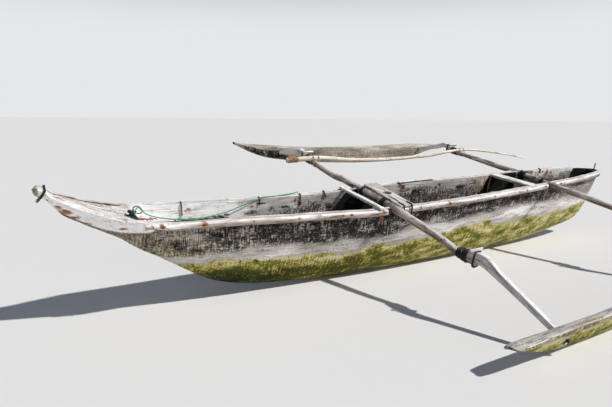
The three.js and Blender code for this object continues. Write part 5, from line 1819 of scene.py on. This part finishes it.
# %% Frayed and tarred twine
FRAYS = [  # start, end and height of each loose bit of red twine
    ((-1868, -122, 676), (-1808, -132, 674), 10), ((-1846, -116, 672), (-1796, -134, 676), 6),
    ((-1858, -108, 670), (-1834, -132, 679), 12), ((-1808, -132, 674), (-1778, -134, 672), 14),
    ((-1794, -132, 673), (-1752, -136, 670), 9), ((-1876, -104, 668), (-1852, -128, 680), 16),
]
ROOT_BITS = [  # start, end and height of each end of tarred twine at the rope's root
    ((-1902, -12, 690), (-1884, -100, 680), 10), ((-1884, -44, 688), (-1872, -124, 680), 14),
    ((-1908, -50, 690), (-1890, -122, 684), 9), ((-1896, -4, 690), (-1876, -84, 680), 14),
    ((-1888, -18, 690), (-1868, -98, 678), 8), ((-1900, -34, 692), (-1880, -110, 682), 17),
    ((-1880, -30, 686), (-1894, -90, 688), 20), ((-1890, 6, 690), (-1866, -56, 680), 10),
    ((-1876, -72, 684), (-1862, -122, 678), 8),
]


def loose_bits(rows, kinks, shift=0):
    """Paths of short ends of twine, each an arch with kinks of so many mm along X, Y and Z."""
    share = np.linspace(0, 1, 24)[:, None]
    paths = []
    for start, end, height in rows:
        start, way = np.array(start, float), np.subtract(end, start)
        kink = lumps(start + way * share * 3 + shift, 14, 14, 14)[:, None] * kinks
        arch = np.sin(share * math.pi) * (0, 0, height)
        paths.append((start + way * share + arch + kink, np.repeat([(0, 0, 1)], len(share), 0)))
    return paths


bind(
    "red_fray", loose_bits(FRAYS, (3, 5, 2)), red_twine, "orange_lashing",
    seed=31, Width=0.006, Thickness=0.004, Edge=0.0015, Unevenness=0.004,
)
bind(
    "root_twine", loose_bits(ROOT_BITS, (8, 5.6, 3.2), 40), black_rubber, "black_lashing",
    seed=37, Width=0.007, Thickness=0.005, Edge=0.0018, Unevenness=0.004,
)

# %% [markdown]
# ## Floor and light
# The photograph's light is a high sun on the right with bright air all round. A hard
# key light from there keeps the long shadows, a dim dome of light that is paler low
# down fills them, and a weak broad light from the camera's side lifts the near faces.

# %% Plain floor and studio light
FLOOR = 400  # m from the middle to each edge
floor_mesh = bpy.data.meshes.new("floor")
floor_corners = [(-FLOOR, -FLOOR, 0), (FLOOR, -FLOOR, 0), (FLOOR, FLOOR, 0), (-FLOOR, FLOOR, 0)]
floor_mesh.from_pydata(floor_corners, [], [(0, 1, 2, 3)])
pale, _ = new_finish("pale_floor", Base_Color=paint("DFDEDC"), Roughness=0.95)
floor_mesh.materials.append(pale)
place("floor", floor_mesh)

world = bpy.data.worlds.new("studio")
world.use_nodes = True
dome = world.node_tree
way = add(dome, "ShaderNodeTexCoord").outputs["Generated"]
height = add(dome, "ShaderNodeSeparateXYZ", {"Vector": way}).outputs["Z"]
dimmer = {"Value": height, "From Min": 0.16, "From Max": 0.4, "To Min": 0.9, "To Max": 0.2}
glow = add(dome, "ShaderNodeMapRange", dimmer, interpolation_type="SMOOTHSTEP")
bluer = {"Value": height, "From Min": 0.14, "From Max": 0.45}
blue = add(dome, "ShaderNodeMapRange", bluer, interpolation_type="SMOOTHSTEP")
mixed = {0: blue, 6: paint("F1F2F4"), 7: paint("B9C9E8")}
tint = add(dome, "ShaderNodeMix", mixed, data_type="RGBA")
wire(dome.nodes["Background"], {"Color": tint, "Strength": glow})
bpy.context.scene.world = world


def sunlight(name, strength, spread, to_right, to_front, to_up):
    """A sun lamp, spread degrees wide, that shines from a direction given in the camera's view."""
    lamp = bpy.data.lights.new(name, "SUN")
    lamp.energy, lamp.angle = strength, math.radians(spread)
    toward = from_photo.to_3x3() @ (right * to_right - level * to_front + Vector((0, 0, to_up)))
    place(name, lamp).rotation_euler = toward.normalized().to_track_quat("Z", "Y").to_euler()
    return lamp


key = sunlight("key_light", strength=3.95, spread=1.5, to_right=1.07, to_front=0.084, to_up=1)
key.color = paint("FFFDFA")[:3]
sunlight("fill_light", strength=0.65, spread=60, to_right=0.45, to_front=1.0, to_up=0.1)
bpy.context.scene.view_settings.view_transform = "Standard"
